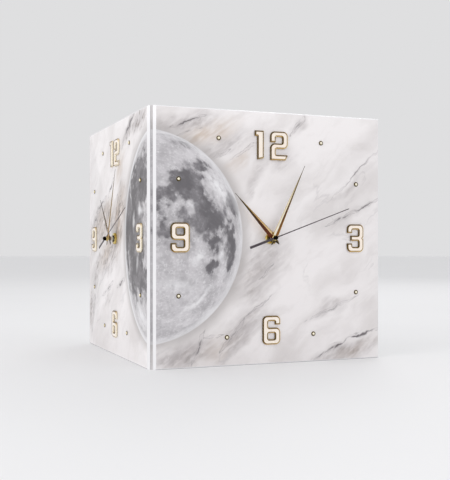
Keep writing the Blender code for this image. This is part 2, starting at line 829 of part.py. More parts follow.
THIRD_AXIS = polar(THIRD_DISTANCE, THIRD_DIRECTION)
FIFTH_AXIS = polar(FIFTH_DISTANCE, FIFTH_DIRECTION)
ROTOR_AXIS = polar(ROTOR_DISTANCE, ROTOR_DIRECTION, FIFTH_AXIS)
TRANSFER_AXIS = polar(TRANSFER_DISTANCE, TRANSFER_DIRECTION)
KNOB_AXIS = polar(KNOB_DISTANCE, KNOB_DIRECTION, TRANSFER_AXIS)


def meshing(direction, teeth, mate_teeth, phase):
    """Phase that puts a mate's gap against a wheel's tooth, the mate lying in a direction."""
    turn = direction + math.pi - math.pi / mate_teeth
    return turn - (phase - direction) * teeth / mate_teeth


def teeth_outline(teeth, module, phase):
    """Pointed teeth: tips and roots in turn round the pitch circle."""
    pitch_radius = teeth * module / 2
    points = []
    for index in range(2 * teeth):
        height = -DEDENDUM if index % 2 else ADDENDUM
        points.append(polar(pitch_radius + height * module, phase + math.pi * index / teeth))
    return points


def wheel(teeth, module, level, phase):
    """Toothed wheel whose upper side is at a level."""
    return prism([teeth_outline(teeth, module, phase)], (level, level - WHEEL_THICKNESS))


def pinion(leaves, module, mate_level, phase):
    """Pinion a little taller than the wheel that it meshes with."""
    low = mate_level - WHEEL_THICKNESS - LEAF_MARGIN
    outline = teeth_outline(leaves, module, phase)
    return prism([outline], (mate_level + LEAF_MARGIN, low))


def bored(mesh, radius):
    """Mesh with a hole right through it along its axis."""
    return cut(mesh, rod(radius, (CAP_TOP, PANEL_BACK), COARSE_STEPS))


def second_wheel():
    """Second wheel and its pinion on the arbor that carries the second hand."""
    top = CAP_TOP - CAP_ROOF - FIT_GAP
    arbor = rod(SECOND_ARBOR_RADIUS, (top, ARBOR_BACK), COARSE_STEPS)
    disc = wheel(SECOND_TEETH, SECOND_MODULE, SECOND_LEVEL, 0.0)
    leaves = pinion(SECOND_LEAVES, THIRD_MODULE, THIRD_LEVEL, 0.0)
    return joined(arbor, disc, leaves)


def fifth_wheel():
    """Intermediate wheel between the rotor and the second wheel."""
    phase = meshing(FIFTH_DIRECTION, SECOND_TEETH, FIFTH_LEAVES, 0.0)
    arbor = rod(PIVOT_RADIUS, (ARBOR_FRONT, ARBOR_BACK), COARSE_STEPS)
    disc = wheel(FIFTH_TEETH, TRAIN_MODULE, FIFTH_LEVEL, 0.0)
    leaves = pinion(FIFTH_LEAVES, SECOND_MODULE, SECOND_LEVEL, phase)
    return joined(arbor, disc, leaves)


def rotor():
    """Magnet of the stepping motor with its pinion."""
    phase = meshing(ROTOR_DIRECTION, FIFTH_TEETH, ROTOR_LEAVES, 0.0)
    arbor = rod(PIVOT_RADIUS, (ARBOR_FRONT, ARBOR_BACK), COARSE_STEPS)
    magnet = rod(MAGNET_RADIUS, (MAGNET_LEVEL, MAGNET_LEVEL - MAGNET_DEPTH))
    leaves = pinion(ROTOR_LEAVES, TRAIN_MODULE, FIFTH_LEVEL, phase)
    return joined(arbor, magnet, leaves)


def third_wheel():
    """Wheel that slows the second arbor down to the centre wheel."""
    wheel_phase = meshing(THIRD_DIRECTION, SECOND_LEAVES, THIRD_TEETH, 0.0)
    leaf_phase = meshing(THIRD_DIRECTION, CENTRE_TEETH, THIRD_LEAVES, 0.0)
    arbor = rod(PIVOT_RADIUS, (ARBOR_FRONT, ARBOR_BACK), COARSE_STEPS)
    disc = wheel(THIRD_TEETH, THIRD_MODULE, THIRD_LEVEL, wheel_phase)
    leaves = pinion(THIRD_LEAVES, TRAIN_MODULE, CENTRE_LEVEL, leaf_phase)
    return joined(arbor, disc, leaves)


def centre_wheel():
    """Wheel that drives the cannon pinion by friction on its lower barrel."""
    disc = wheel(CENTRE_TEETH, TRAIN_MODULE, CENTRE_LEVEL, 0.0)
    return bored(disc, CLUTCH_RADIUS + FIT_GAP)


def cannon_pinion():
    """Tube that carries the minute hand, with the pinion of the motion work."""
    top = MINUTE_HAND_LEVEL + HAND_EDGE
    shoulder = TRANSFER_LEVEL + LEAF_MARGIN / 2
    bottom = CENTRE_LEVEL - WHEEL_THICKNESS - FIT_GAP
    profile = [
        (0.0, top),
        (MINUTE_TUBE_RADIUS, top),
        (MINUTE_TUBE_RADIUS, shoulder),
        (CLUTCH_RADIUS, shoulder),
        (CLUTCH_RADIUS, bottom),
        (0.0, bottom),
    ]
    leaves = pinion(CANNON_LEAVES, MOTION_MODULE, TRANSFER_LEVEL, 0.0)
    return bored(joined(turned(profile, COARSE_STEPS), leaves), MINUTE_TUBE_BORE)


def transfer_phase():
    """Phase of the transfer wheel's teeth at rest."""
    return meshing(TRANSFER_DIRECTION, CANNON_LEAVES, TRANSFER_TEETH, 0.0)


def transfer_wheel():
    """Wheel and pinion on a stud that slow the cannon pinion down to the hour wheel."""
    disc = wheel(TRANSFER_TEETH, MOTION_MODULE, TRANSFER_LEVEL, transfer_phase())
    outline = teeth_outline(TRANSFER_LEAVES, HOUR_MODULE, 0.0)
    foot = TRANSFER_LEVEL - WHEEL_THICKNESS / 2
    leaves = prism([outline], (HOUR_LEVEL + LEAF_MARGIN, foot))
    return bored(joined(disc, leaves), STUD_RADIUS + FIT_GAP)


def hour_wheel():
    """Hour wheel on the tube that carries the hour hand."""
    phase = meshing(TRANSFER_DIRECTION + math.pi, TRANSFER_LEAVES, HOUR_TEETH, 0.0)
    top = HOUR_HAND_LEVEL + HAND_EDGE
    sleeve = rod(HOUR_TUBE_RADIUS, (top, HOUR_LEVEL - WHEEL_THICKNESS / 2), COARSE_STEPS)
    disc = wheel(HOUR_TEETH, HOUR_MODULE, HOUR_LEVEL, phase)
    return bored(joined(sleeve, disc), HOUR_TUBE_BORE)


def set_knob():
    """Knob at the back whose pinion turns the transfer wheel to set the time."""
    phase = meshing(KNOB_DIRECTION, TRANSFER_TEETH, KNOB_LEAVES, transfer_phase())
    arbor = rod(KNOB_ARBOR_RADIUS, (ARBOR_FRONT, COVER_BACK - FIT_GAP - KNOB_THICKNESS / 2))
    leaves = pinion(KNOB_LEAVES, MOTION_MODULE, TRANSFER_LEVEL, phase)
    grip = []
    for index in range(2 * KNOB_GROOVES):
        radius = KNOB_RADIUS - KNOB_GROOVE * (index % 2)
        grip.append(polar(radius, math.pi * index / KNOB_GROOVES))
    back = COVER_BACK - FIT_GAP
    return joined(arbor, leaves, prism([grip], (back, back - KNOB_THICKNESS)))


# Movement housing, motor and battery


def socket(axis, level, pivot_radius, inward):
    """Raised ring round a pivot, sunk a little into the wall that it stands on."""
    bore = pivot_radius + FIT_GAP
    limits = (level - inward * CASE_WALL / 2, level + inward * SOCKET_RISE)
    return moved(tube(bore + SOCKET_WALL, bore, limits, COARSE_STEPS), *axis)


def movement_case():
    """Moulded case: gear room, battery bay, threaded stem, sockets, stud and posts."""
    half = CASE_WIDTH / 2
    shell = prism(
        [rectangle((-half, half), (-CASE_BOTTOM, CASE_TOP), CASE_CORNER)],
        (CASE_FRONT, CASE_BACK),
    )
    stem = rod(STEM_RADIUS, (STEM_TOP, CASE_FRONT - CASE_WALL / 2))
    beyond = CASE_BACK - CASE_WALL
    room = box((-ROOM_HALF, ROOM_HALF), (ROOM_LOW, CASE_TOP - CASE_WALL), (CASE_INSIDE, beyond))
    bay = box((-ROOM_HALF, ROOM_HALF), (BAY_FLOOR, BAY_ROOF), (CASE_INSIDE, beyond))
    bore = rod(STEM_BORE, (STEM_TOP + CASE_WALL, CASE_INSIDE - CASE_WALL))
    hollow = cut(joined(shell, stem), room, bay, bore)
    pegs = [
        socket(THIRD_AXIS, CASE_INSIDE, PIVOT_RADIUS, -1),
        socket(FIFTH_AXIS, CASE_INSIDE, PIVOT_RADIUS, -1),
        socket(ROTOR_AXIS, CASE_INSIDE, PIVOT_RADIUS, -1),
        socket(KNOB_AXIS, CASE_INSIDE, KNOB_ARBOR_RADIUS, -1),
    ]
    root = CASE_INSIDE + CASE_WALL / 2
    stud = rod(STUD_RADIUS, (root, TRANSFER_LEVEL - WHEEL_THICKNESS - FIT_GAP), COARSE_STEPS)
    post = rod(POST_RADIUS, (root, STATOR_LEVEL + FIT_GAP), COARSE_STEPS)
    ring_x = ROTOR_AXIS[0] + (STATOR_RING + MAGNET_RADIUS + STATOR_PLAY) / 2
    pegs.append(moved(stud, *TRANSFER_AXIS))
    pegs.append(moved(post, STATOR_LEFT + STATOR_ARM / 2, STATOR_LOWER_ARM))
    pegs.append(moved(post, ring_x, ROTOR_AXIS[1]))
    return joined(hollow, *pegs)


def movement_cover():
    """Rear cover of the gear room, with the hole for the setting knob."""
    half = CASE_WIDTH / 2
    outline = rectangle((-half, half), (BAY_ROOF, CASE_TOP), CASE_CORNER)
    sheet = prism([outline], (COVER_FRONT, COVER_BACK))
    spare = 2 * COVER_THICKNESS
    hole = rod(KNOB_ARBOR_RADIUS + FIT_GAP, (COVER_FRONT + spare, COVER_BACK - spare))
    sockets = [
        socket(THIRD_AXIS, COVER_FRONT, PIVOT_RADIUS, 1),
        socket(FIFTH_AXIS, COVER_FRONT, PIVOT_RADIUS, 1),
        socket(ROTOR_AXIS, COVER_FRONT, PIVOT_RADIUS, 1),
        socket((0.0, 0.0), COVER_FRONT, SECOND_ARBOR_RADIUS, 1),
    ]
    return joined(cut(sheet, moved(hole, *KNOB_AXIS)), *sockets)


def stator_coil():
    """Laminated stator looped round the rotor, with the coil on its upper arm."""
    levels = (STATOR_LEVEL, STATOR_LEVEL - STATOR_THICKNESS)
    arm = STATOR_ARM / 2
    low, high = STATOR_LOWER_ARM - arm, STATOR_UPPER_ARM + arm
    loop = box((STATOR_LEFT, ROTOR_AXIS[0]), (low, high), levels)
    ring = moved(rod(STATOR_RING, levels), *ROTOR_AXIS)
    beyond = (STATOR_LEVEL + STATOR_THICKNESS, STATOR_LEVEL - 2 * STATOR_THICKNESS)
    window = box(
        (STATOR_LEFT + STATOR_ARM, ROTOR_AXIS[0] - STATOR_RING),
        (STATOR_LOWER_ARM + arm, STATOR_UPPER_ARM - arm),
        beyond,
    )
    opening = moved(rod(MAGNET_RADIUS + STATOR_PLAY, beyond), *ROTOR_AXIS)
    frame = cut(joined(loop, ring), window, opening)
    section = rectangle((-COIL_HALF, COIL_HALF), (-COIL_HALF, COIL_HALF), COIL_CORNER)
    coil = laid_along_x(prism([section], (COIL_LEFT, COIL_RIGHT)))
    coil = moved(coil, y=STATOR_UPPER_ARM, z=STATOR_LEVEL - STATOR_THICKNESS / 2)
    return joined(frame, coil)


def circuit_board():
    """Circuit board with the chip under a round drop of resin."""
    front = CASE_INSIDE - FIT_GAP
    back = front - BOARD_THICKNESS
    board = box((BOARD_LEFT, BOARD_RIGHT), (BOARD_LOW, BOARD_HIGH), (front, back))
    drop = [(0.0, back + BOARD_THICKNESS / 2), (CHIP_RADIUS, back + BOARD_THICKNESS / 2)]
    drop += [(CHIP_RADIUS, back), (CHIP_RADIUS / 2, back - CHIP_RISE), (0.0, back - CHIP_RISE)]
    chip = turned(drop, COARSE_STEPS)
    middle = ((BOARD_LEFT + BOARD_RIGHT) / 2, (BOARD_LOW + BOARD_HIGH) / 2)
    return joined(board, moved(chip, *middle))


def battery():
    """AA cell lying along x, centred on its own axis."""
    end = (BATTERY_LENGTH + BATTERY_NUB_LENGTH) / 2
    can = end - BATTERY_NUB_LENGTH
    profile = [
        (0.0, end),
        (BATTERY_NUB_RADIUS, end),
        (BATTERY_NUB_RADIUS, can),
        (BATTERY_RADIUS - BATTERY_CHAMFER, can),
        (BATTERY_RADIUS, can - BATTERY_CHAMFER),
        (BATTERY_RADIUS, BATTERY_CHAMFER - end),
        (BATTERY_RADIUS - BATTERY_CHAMFER, -end),
        (0.0, -end),
    ]
    return laid_along_x(turned(profile))


# Putting the clock together


class Assembly:
    """Collection of the clock with its materials and the empties of its wings."""

    def __init__(self):
        self.materials = make_materials()
        self.collection = bpy.data.collections.new("double_sided_wall_clock")
        bpy.context.scene.collection.children.link(self.collection)
        centre = (FACE_WIDTH - CAP_TOP) / 2
        self.holders = {}
        self.add_holder("clock", Matrix.Translation((-centre, -centre, 0.0)))
        self.add_holder("front", wing_stand(1), "clock")
        self.add_holder("side", wing_stand(-1), "clock")

    def add_holder(self, name, place, parent=None):
        """Empty that carries the pieces of the whole clock or of one wing."""
        holder = bpy.data.objects.new(f"{name}_holder", None)
        if parent:
            holder.parent = self.holders[parent]
        holder.matrix_basis = place
        self.collection.objects.link(holder)
        self.holders[name] = holder

    def add(self, name, mesh, finish, holder, place=(0.0, 0.0, 0.0), turn=0.0):
        """Piece of the clock, set at its place on its holder."""
        if not mesh.materials:
            mesh.materials.append(self.materials[finish])
            mesh.shade_smooth()
            mesh.set_sharp_from_angle(angle=math.radians(30.0))
        obj = bpy.data.objects.new(name, mesh)
        obj.parent = self.holders[holder]
        obj.location = place
        obj.rotation_euler = (0.0, 0.0, turn)
        self.collection.objects.link(obj)


def shared_pieces():
    """Pieces alike on both wings: name, mesh, finish, place and turn."""
    centre = (0.0, 0.0, 0.0)
    third = (*THIRD_AXIS, 0.0)
    fifth = (*FIFTH_AXIS, 0.0)
    rotor_place = (*ROTOR_AXIS, 0.0)
    transfer = (*TRANSFER_AXIS, 0.0)
    knob = (*KNOB_AXIS, 0.0)
    cell = (0.0, BATTERY_Y, BATTERY_Z)
    twelve_half = (ONE_WIDTH + TWELVE_SPACE + NUMERAL_WIDTH) / 2
    one = (ONE_WIDTH / 2 - twelve_half, NUMERAL_TOP_RADIUS, 0.0)
    two = (twelve_half - NUMERAL_WIDTH / 2, NUMERAL_TOP_RADIUS, 0.0)
    three = (NUMERAL_SIDE_RADIUS, 0.0, 0.0)
    six = (0.0, -NUMERAL_TOP_RADIUS, 0.0)
    nine = (-NUMERAL_SIDE_RADIUS, 0.0, 0.0)
    six_mesh = raised(numeral_six())
    hour = lance_hand(
        HOUR_HAND_LENGTH, HOUR_HAND_TAIL, HOUR_HAND_WIDTH, HOUR_HAND_LEVEL, HOUR_TUBE_RADIUS
    )
    minute = lance_hand(
        MINUTE_HAND_LENGTH,
        MINUTE_HAND_TAIL,
        MINUTE_HAND_WIDTH,
        MINUTE_HAND_LEVEL,
        MINUTE_TUBE_RADIUS,
    )
    return [
        ("hanger_plate", hanger_plate(), "zinc_steel", centre, 0.0),
        ("numeral_12_one", raised(numeral_one()), "gold_mirror", one, 0.0),
        ("numeral_12_two", raised(numeral_two()), "gold_mirror", two, 0.0),
        ("numeral_3", raised(numeral_three()), "gold_mirror", three, 0.0),
        ("numeral_6", six_mesh, "gold_mirror", six, 0.0),
        ("numeral_9", six_mesh, "gold_mirror", nine, math.pi),
        ("hour_hand", hour, "gold_mirror", centre, -HOUR_HAND_ANGLE),
        ("minute_hand", minute, "gold_mirror", centre, -MINUTE_HAND_ANGLE),
        ("second_hand", second_hand(), "dark_hand", centre, -SECOND_HAND_ANGLE),
        ("shaft_nut", shaft_nut(), "brass", centre, 0.0),
        ("washer", washer(), "rubber", centre, 0.0),
        ("movement_case", movement_case(), "black_case", centre, 0.0),
        ("movement_cover", movement_cover(), "black_case", centre, 0.0),
        ("stator_coil", stator_coil(), "copper_wire", centre, 0.0),
        ("circuit_board", circuit_board(), "green_board", centre, 0.0),
        ("battery", battery(), "battery_jacket", cell, 0.0),
        ("rotor", rotor(), "ferrite", rotor_place, 0.0),
        ("fifth_wheel", fifth_wheel(), "ivory_gear", fifth, 0.0),
        ("second_wheel", second_wheel(), "ivory_gear", centre, 0.0),
        ("third_wheel", third_wheel(), "ivory_gear", third, 0.0),
        ("centre_wheel", centre_wheel(), "ivory_gear", centre, 0.0),
        ("cannon_pinion", cannon_pinion(), "brass", centre, 0.0),
        ("transfer_wheel", transfer_wheel(), "ivory_gear", transfer, 0.0),
        ("hour_wheel", hour_wheel(), "ivory_gear", centre, 0.0),
        ("set_knob", set_knob(), "ivory_gear", knob, 0.0),
    ]


def build():
    """Model the whole clock."""
    clear_scene()
    clock = Assembly()
    clock.add("corner_post", corner_post(), "white_lacquer", "front")
    for wing, side in (("front", 1), ("side", -1)):
        clock.add(f"face_plate_{wing}", face_plate(side), "printed_acrylic", wing)
        clock.add(f"backing_panel_{wing}", backing_panel(side), "white_board", wing)
        clock.add(f"frame_{wing}", frame(side), "white_lacquer", wing)
        clock.add(f"back_panel_{wing}", back_panel(side), "white_board", wing)
    for name, mesh, finish, place, turn in shared_pieces():
        for wing in ("front", "side"):
            clock.add(f"{name}_{wing}", mesh, finish, wing, place, turn)


build()
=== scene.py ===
"""Looks of a double-sided corner wall clock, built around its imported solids.

Two square acrylic faces printed with marble and a moon meet at a right angle. Sizes
are in millimetres on the bench: x to the right of a dial, y up it, z out of it, with
zero on the dial's axis at the front of the face. A Stand carries them to their wing.
"""

from __future__ import annotations

import json
import logging
import math
from dataclasses import dataclass, field, replace
from enum import Enum
from typing import Any

import bmesh
import bpy
import numpy as np
from mathutils import Euler, Matrix, Vector
from mathutils.geometry import tessellate_polygon

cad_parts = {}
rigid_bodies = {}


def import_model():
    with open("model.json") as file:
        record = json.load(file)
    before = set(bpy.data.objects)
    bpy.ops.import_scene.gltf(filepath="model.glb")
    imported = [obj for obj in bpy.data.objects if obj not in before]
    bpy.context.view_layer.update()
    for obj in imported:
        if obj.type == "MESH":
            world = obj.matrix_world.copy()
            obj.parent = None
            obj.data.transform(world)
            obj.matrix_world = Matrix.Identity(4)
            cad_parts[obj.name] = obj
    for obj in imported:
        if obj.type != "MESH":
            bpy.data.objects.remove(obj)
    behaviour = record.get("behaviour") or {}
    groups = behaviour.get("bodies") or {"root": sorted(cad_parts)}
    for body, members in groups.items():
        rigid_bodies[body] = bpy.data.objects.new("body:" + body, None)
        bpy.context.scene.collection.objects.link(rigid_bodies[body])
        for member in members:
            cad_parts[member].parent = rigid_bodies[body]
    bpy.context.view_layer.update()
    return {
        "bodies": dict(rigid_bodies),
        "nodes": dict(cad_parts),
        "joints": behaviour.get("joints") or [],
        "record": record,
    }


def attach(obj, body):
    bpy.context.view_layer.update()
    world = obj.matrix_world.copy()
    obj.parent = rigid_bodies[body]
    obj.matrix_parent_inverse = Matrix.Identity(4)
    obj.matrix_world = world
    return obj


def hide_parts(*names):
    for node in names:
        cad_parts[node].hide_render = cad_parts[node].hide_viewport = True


LOG = logging.getLogger("wall_clock")
Array = np.ndarray
Point2 = tuple[float, float]
Point3 = tuple[float, float, float]

MILLIMETRE = 0.001
CLOCK_BODY = "clock_body"
# Front of a face in the world, and the dial's middle from the clock's corner and foot
CORNER_AT = -141.7
DIAL_FROM_CORNER = 151.0
DIAL_HEIGHT = 150.0
FACE_SIZE = 300.0
# The dial's axis along a wing in the world
AXIS_AT = CORNER_AT + DIAL_FROM_CORNER
# Points of a piece nearer to each other than this many metres become one
WELD = 1e-7


class Wing(Enum):
    """The two wings of the clock."""

    FRONT = "front"
    SIDE = "side"

    def pick(self, front: Any, side: Any) -> Any:
        """The one of two things that belongs to this wing."""
        return front if self is Wing.FRONT else side

    def turn(self) -> Euler:
        """Turn of world axes to the wing's own: along it from the corner, up, across."""
        along, across = self.pick(((1, 0, 0), (0, -1, 0)), ((0, 1, 0), (1, 0, 0)))
        return Matrix((along, (0, 0, 1), across)).to_euler()


# Node trees


def linear(code: str) -> tuple[float, ...]:
    """Turn an sRGB hex colour into the linear colour that a shader wants.

    Args:
        code: six hex digits after a hash sign.

    Returns:
        Red, green, blue and an alpha of one.
    """
    parts = np.array([int(code[at : at + 2], 16) for at in (1, 3, 5)]) / 255.0
    curve = np.where(parts <= 0.04045, parts / 12.92, ((parts + 0.055) / 1.055) ** 2.4)
    return (*curve.tolist(), 1.0)


def feed(node: Any, inputs: dict[int | str, Any]) -> None:
    """Set a node's inputs, and link those that a socket feeds.

    Args:
        node: the node.
        inputs: for each input's name or number, a value or the socket that feeds it.
    """
    for key, value in inputs.items():
        if isinstance(value, bpy.types.NodeSocket):
            node.id_data.links.new(value, node.inputs[key])
        else:
            node.inputs[key].default_value = value


def add(tree: Any, kind: str, *values: Any, **settings: Any) -> Any:
    """Add one node with its settings, values and links.

    Args:
        tree: the node tree that it goes into.
        kind: the node's type without its prefix.
        values: value or socket of each of its first inputs, or one dict of inputs.
        settings: the node's own options.

    Returns:
        The node's first output in use, or the node where it has none.
    """
    node = tree.nodes.new(f"ShaderNode{kind}")
    for option, value in settings.items():
        setattr(node, option, value)
    named = bool(values) and isinstance(values[0], dict)
    feed(node, values[0] if named else dict(enumerate(values)))
    used = [socket for socket in node.outputs if socket.enabled]
    return used[0] if used else node


def blank(name: str) -> tuple[Any, Any, Any]:
    """Start a material.

    Args:
        name: what it is and how it was worked.

    Returns:
        The material, its node tree and its Principled shader.
    """
    material = bpy.data.materials.new(name)
    material.use_nodes = True
    return material, material.node_tree, material.node_tree.nodes["Principled BSDF"]


def product(tree: Any, *factors: Any) -> Any:
    """Multiply sockets and numbers.

    Args:
        tree: the node tree.
        factors: what is multiplied.

    Returns:
        The product's socket.
    """
    total = factors[0]
    for factor in factors[1:]:
        total = add(tree, "Math", total, factor, operation="MULTIPLY")
    return total


def over(tree: Any, base: Any, colour: Any, *shares: Any) -> Any:
    """Lay a colour over another, each a hex code or a socket, by a product of shares."""
    below, above = (linear(c) if isinstance(c, str) else c for c in (base, colour))
    return add(tree, "Mix", {0: product(tree, *shares), 6: below, 7: above}, data_type="RGBA")


def within(
    tree: Any, value: Any, middle: float, half: float, soft: float = 0.03, full: float = 1.0
) -> Any:
    """Mark where a value lies near a middle.

    Args:
        tree: the node tree.
        value: the socket.
        middle: what its distance is taken from.
        half: distance up to which the mark is full.
        soft: how much further the mark fades to nothing.
        full: the mark at its fullest.

    Returns:
        The mark's socket.
    """
    away = add(tree, "Math", value, middle, operation="SUBTRACT")
    away = add(tree, "Math", away, operation="ABSOLUTE")
    return add(tree, "MapRange", away, half + soft, half, 0.0, full)


def lines(tree: Any, value: Any, pitch: float, share: float) -> Any:
    """Mark lines across a value.

    Args:
        tree: the node tree.
        value: the socket, in millimetres.
        pitch: distance from line to line.
        share: how much of the pitch a line fills.

    Returns:
        A socket that is one on the lines and zero between them.
    """
    turns = add(tree, "Math", value, pitch, operation="DIVIDE")
    turns = add(tree, "Math", turns, operation="FRACT")
    return within(tree, turns, 0.5, 0.5 * share, 0.15)


def grain(tree: Any, size: float) -> Any:
    """Even noise over the object's own axes, its marks a size in millimetres."""
    fine = {"Vector": add(tree, "TexCoord").node.outputs["Object"], "Detail": 3.0}
    return add(tree, "TexNoise", {**fine, "Scale": 1.0 / (size * MILLIMETRE)})


def emboss(tree: Any, shader: Any, height: Any, depth: float) -> None:
    """Let a height from zero to one raise the surface by a depth in millimetres."""
    lift = {"Height": height, "Distance": depth * MILLIMETRE, "Strength": 1.0}
    feed(shader, {"Normal": add(tree, "Bump", lift)})


def on_wing(tree: Any, wing: Wing, shift: Point3, way: float = 1.0) -> Any:
    """Object coordinates turned to a wing, in millimetres.

    Args:
        tree: the node tree.
        wing: the wing whose axes they follow: along, up, across.
        shift: millimetres added to them.
        way: minus one turns the level axes about first.

    Returns:
        The coordinates' socket.
    """
    place = {
        "Vector": add(tree, "TexCoord").node.outputs["Object"],
        "Location": shift,
        "Rotation": wing.turn(),
        "Scale": (way / MILLIMETRE, way / MILLIMETRE, 1.0 / MILLIMETRE),
    }
    return add(tree, "Mapping", place)


def bench(tree: Any, wing: Wing) -> Any:
    """Bench millimetres of a place on a wing, out of its object coordinates."""
    way = wing.pick(1.0, -1.0)
    return on_wing(tree, wing, (-AXIS_AT * way, -DIAL_HEIGHT, CORNER_AT), way)


# Meshes


@dataclass
class Shell:
    """Points and faces of a piece while it grows, with a finish number for each face.

    Each point also has a shade from zero to one, for finishes whose painted light and shade change
    over a piece.
    """

    points: list[Array] = field(default_factory=list)
    shades: list[Array] = field(default_factory=list)
    faces: list[list[int]] = field(default_factory=list)
    finishes: list[int] = field(default_factory=list)

    def start(self, points: Array, shade: Array | float = 0.0) -> int:
        """Take in points.

        Args:
            points: their places, in an array whose last axis is x, y, z.
            shade: one shade, or what spreads to one for each point.

        Returns:
            The number of the first.
        """
        first = sum(len(block) for block in self.points)
        self.points.append(points.reshape(-1, 3))
        self.shades.append(np.broadcast_to(shade, points.shape[:-1]).reshape(-1))
        return first

    def grid(self, grid: Array, finish: int | Array = 0, shade: Array | float = 0.0) -> Shell:
        """Add the surface through a grid of points, whose last column joins its first.

        Args:
            grid: points of shape (rows, columns, 3).
            finish: one finish number, or one for each row or column of faces.
            shade: one shade, or one for each point.

        Returns:
            The shell itself.
        """
        rows, columns, _ = grid.shape
        number = self.start(grid, shade) + np.arange(rows * columns).reshape(rows, columns)
        beside = np.roll(number, -1, axis=1)
        quads = np.stack([number[:-1], beside[:-1], beside[1:], number[1:]], axis=-1)
        self.faces += quads.reshape(-1, 4).tolist()
        self.finishes += np.broadcast_to(finish, quads.shape[:2]).ravel().tolist()
        return self

    def fill(self, loops: list[Array], finish: int = 0, shade: Array | float = 0.0) -> Shell:
        """Add the flat face inside an outline.

        Args:
            loops: the outline, then those of its holes.
            finish: finish number of the face.
            shade: one shade, or one for each point.

        Returns:
            The shell itself.
        """
        first = self.start(np.concatenate(loops), shade)
        polygons = [[Vector(point) for point in loop] for loop in loops]
        triangles = first + np.array(tessellate_polygon(polygons))
        self.faces += triangles.tolist()
        self.finishes += [finish] * len(triangles)
        return self

    def tube(self, path: Array, radius: float, sides: int = 12) -> Shell:
        """Add a round wire: a circle across the path at each of its points.

        Args:
            path: points along the wire's middle.
            radius: half its thickness.
            sides: points of a circle.

        Returns:
            The shell itself.
        """
        ahead = np.gradient(path, axis=0)
        ahead /= np.linalg.norm(ahead, axis=1, keepdims=True)
        out = np.cross(ahead, np.array([0.31, 0.17, 0.94]))
        out /= np.linalg.norm(out, axis=1, keepdims=True)
        up = np.cross(ahead, out)
        turn = np.linspace(0.0, math.tau, sides, endpoint=False)[None, :, None]
        rings = path[:, None] + radius * (np.cos(turn) * out[:, None] + np.sin(turn) * up[:, None])
        return self.grid(rings).fill([rings[0]]).fill([rings[-1]])

    def shifted(self, x: float = 0.0, y: float = 0.0, z: float = 0.0) -> Shell:
        """The same shell moved on the bench."""
        self.points = [block + np.array([x, y, z]) for block in self.points]
        return self

    def spun(self, degrees: float) -> Shell:
        """Turn the shell to the right about the dial's axis, as hands turn.

        Args:
            degrees: how far.

        Returns:
            The shell itself.
        """
        spin = np.array(Matrix.Rotation(-math.radians(degrees), 3, "Z"))
        self.points = [block @ spin.T for block in self.points]
        return self

    def joined(self, other: Shell) -> Shell:
        """Take in another shell.

        Args:
            other: the shell whose points, faces and finishes come in.

        Returns:
            The shell itself.
        """
        first = self.start(np.concatenate(other.points), np.concatenate(other.shades))
        self.faces += [[first + number for number in face] for face in other.faces]
        self.finishes += other.finishes
        return self


@dataclass(frozen=True)
class Stand:
    """Where a wing stands, and how pieces on the bench get there."""

    wing: Wing
    shop: Workshop

    def name(self, piece: str) -> str:
        """Name of a piece, node or body on this wing."""
        return f"{piece}_{self.wing.value}"

    def along(self, from_corner: Array | float) -> Array | float:
        """Dial x of a distance from the clock's corner."""
        return self.wing.pick(1.0, -1.0) * (from_corner - DIAL_FROM_CORNER)

    def place(self, points: Array) -> Array:
        """Stand points up on the wing.

        Args:
            points: their places in bench millimetres.

        Returns:
            World points in metres: x along the wing, y upwards and z out of the face.
        """
        x, y, z = np.moveaxis(points, -1, 0)
        front = (AXIS_AT + x, CORNER_AT - z, DIAL_HEIGHT + y)
        side = (CORNER_AT - z, AXIS_AT - x, DIAL_HEIGHT + y)
        return np.stack(self.wing.pick(front, side), axis=-1) * MILLIMETRE

    def build(
        self,
        piece: str,
        shell: Shell,
        dresses: tuple[Dress, ...],
        slot: str,
        body: str = "",
        node: str = "",
        sharp: float = 30.0,
    ) -> None:
        """Make the object of a shell, its faces outward and its place in its mesh.

        Args:
            piece: its name without the wing.
            shell: its points and faces in bench millimetres.
            dresses: finishes in the order of the shell's finish numbers.
            slot: the record's material slot; not used.
            body: what it rides on, without the wing; the clock's own body where empty.
            node: the solid that it replaces, without the wing, if any.
            sharp: angle in degrees from which an edge stays crisp.
        """
        mesh = bpy.data.meshes.new(self.name(piece))
        mesh.from_pydata(self.place(np.concatenate(shell.points)).tolist(), [], shell.faces)
        for dress in dresses:
            mesh.materials.append(self.shop.get(dress))
        mesh.polygons.foreach_set("material_index", shell.finishes)
        shade = mesh.attributes.new("shade", "FLOAT", "POINT")
        shade.data.foreach_set("value", np.concatenate(shell.shades))
        worked = bmesh.new()
        worked.from_mesh(mesh)
        bmesh.ops.remove_doubles(worked, verts=worked.verts, dist=WELD)
        bmesh.ops.dissolve_degenerate(worked, edges=worked.edges, dist=WELD)
        bmesh.ops.recalc_face_normals(worked, faces=worked.faces)
        worked.to_mesh(mesh)
        worked.free()
        mesh.shade_smooth()
        mesh.set_sharp_from_angle(angle=math.radians(sharp))
        obj = bpy.data.objects.new(self.name(piece), mesh)
        bpy.context.scene.collection.objects.link(obj)
        if node:
            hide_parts(self.name(node))
        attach(obj, self.name(body) if body else CLOCK_BODY)
        LOG.info("%s: %d faces", obj.name, len(mesh.polygons))


def circle(radius: Array | float, steps: int, height: Array | float = 0.0) -> Array:
    """Points of rings: radius times cosine and sine of the turn, at a height.

    Args:
        radius: one radius, or one for each ring.
        steps: points of a ring.
        height: one height, or one for each ring.

    Returns:
        Points of shape (steps, 3), or (rings, steps, 3).
    """
    turn = np.linspace(0.0, math.tau, steps, endpoint=False)
    radius, height, turn = np.broadcast_arrays(
        np.asarray(radius)[..., None], np.asarray(height)[..., None], turn
    )
    return np.stack([radius * np.cos(turn), radius * np.sin(turn), height], axis=-1)


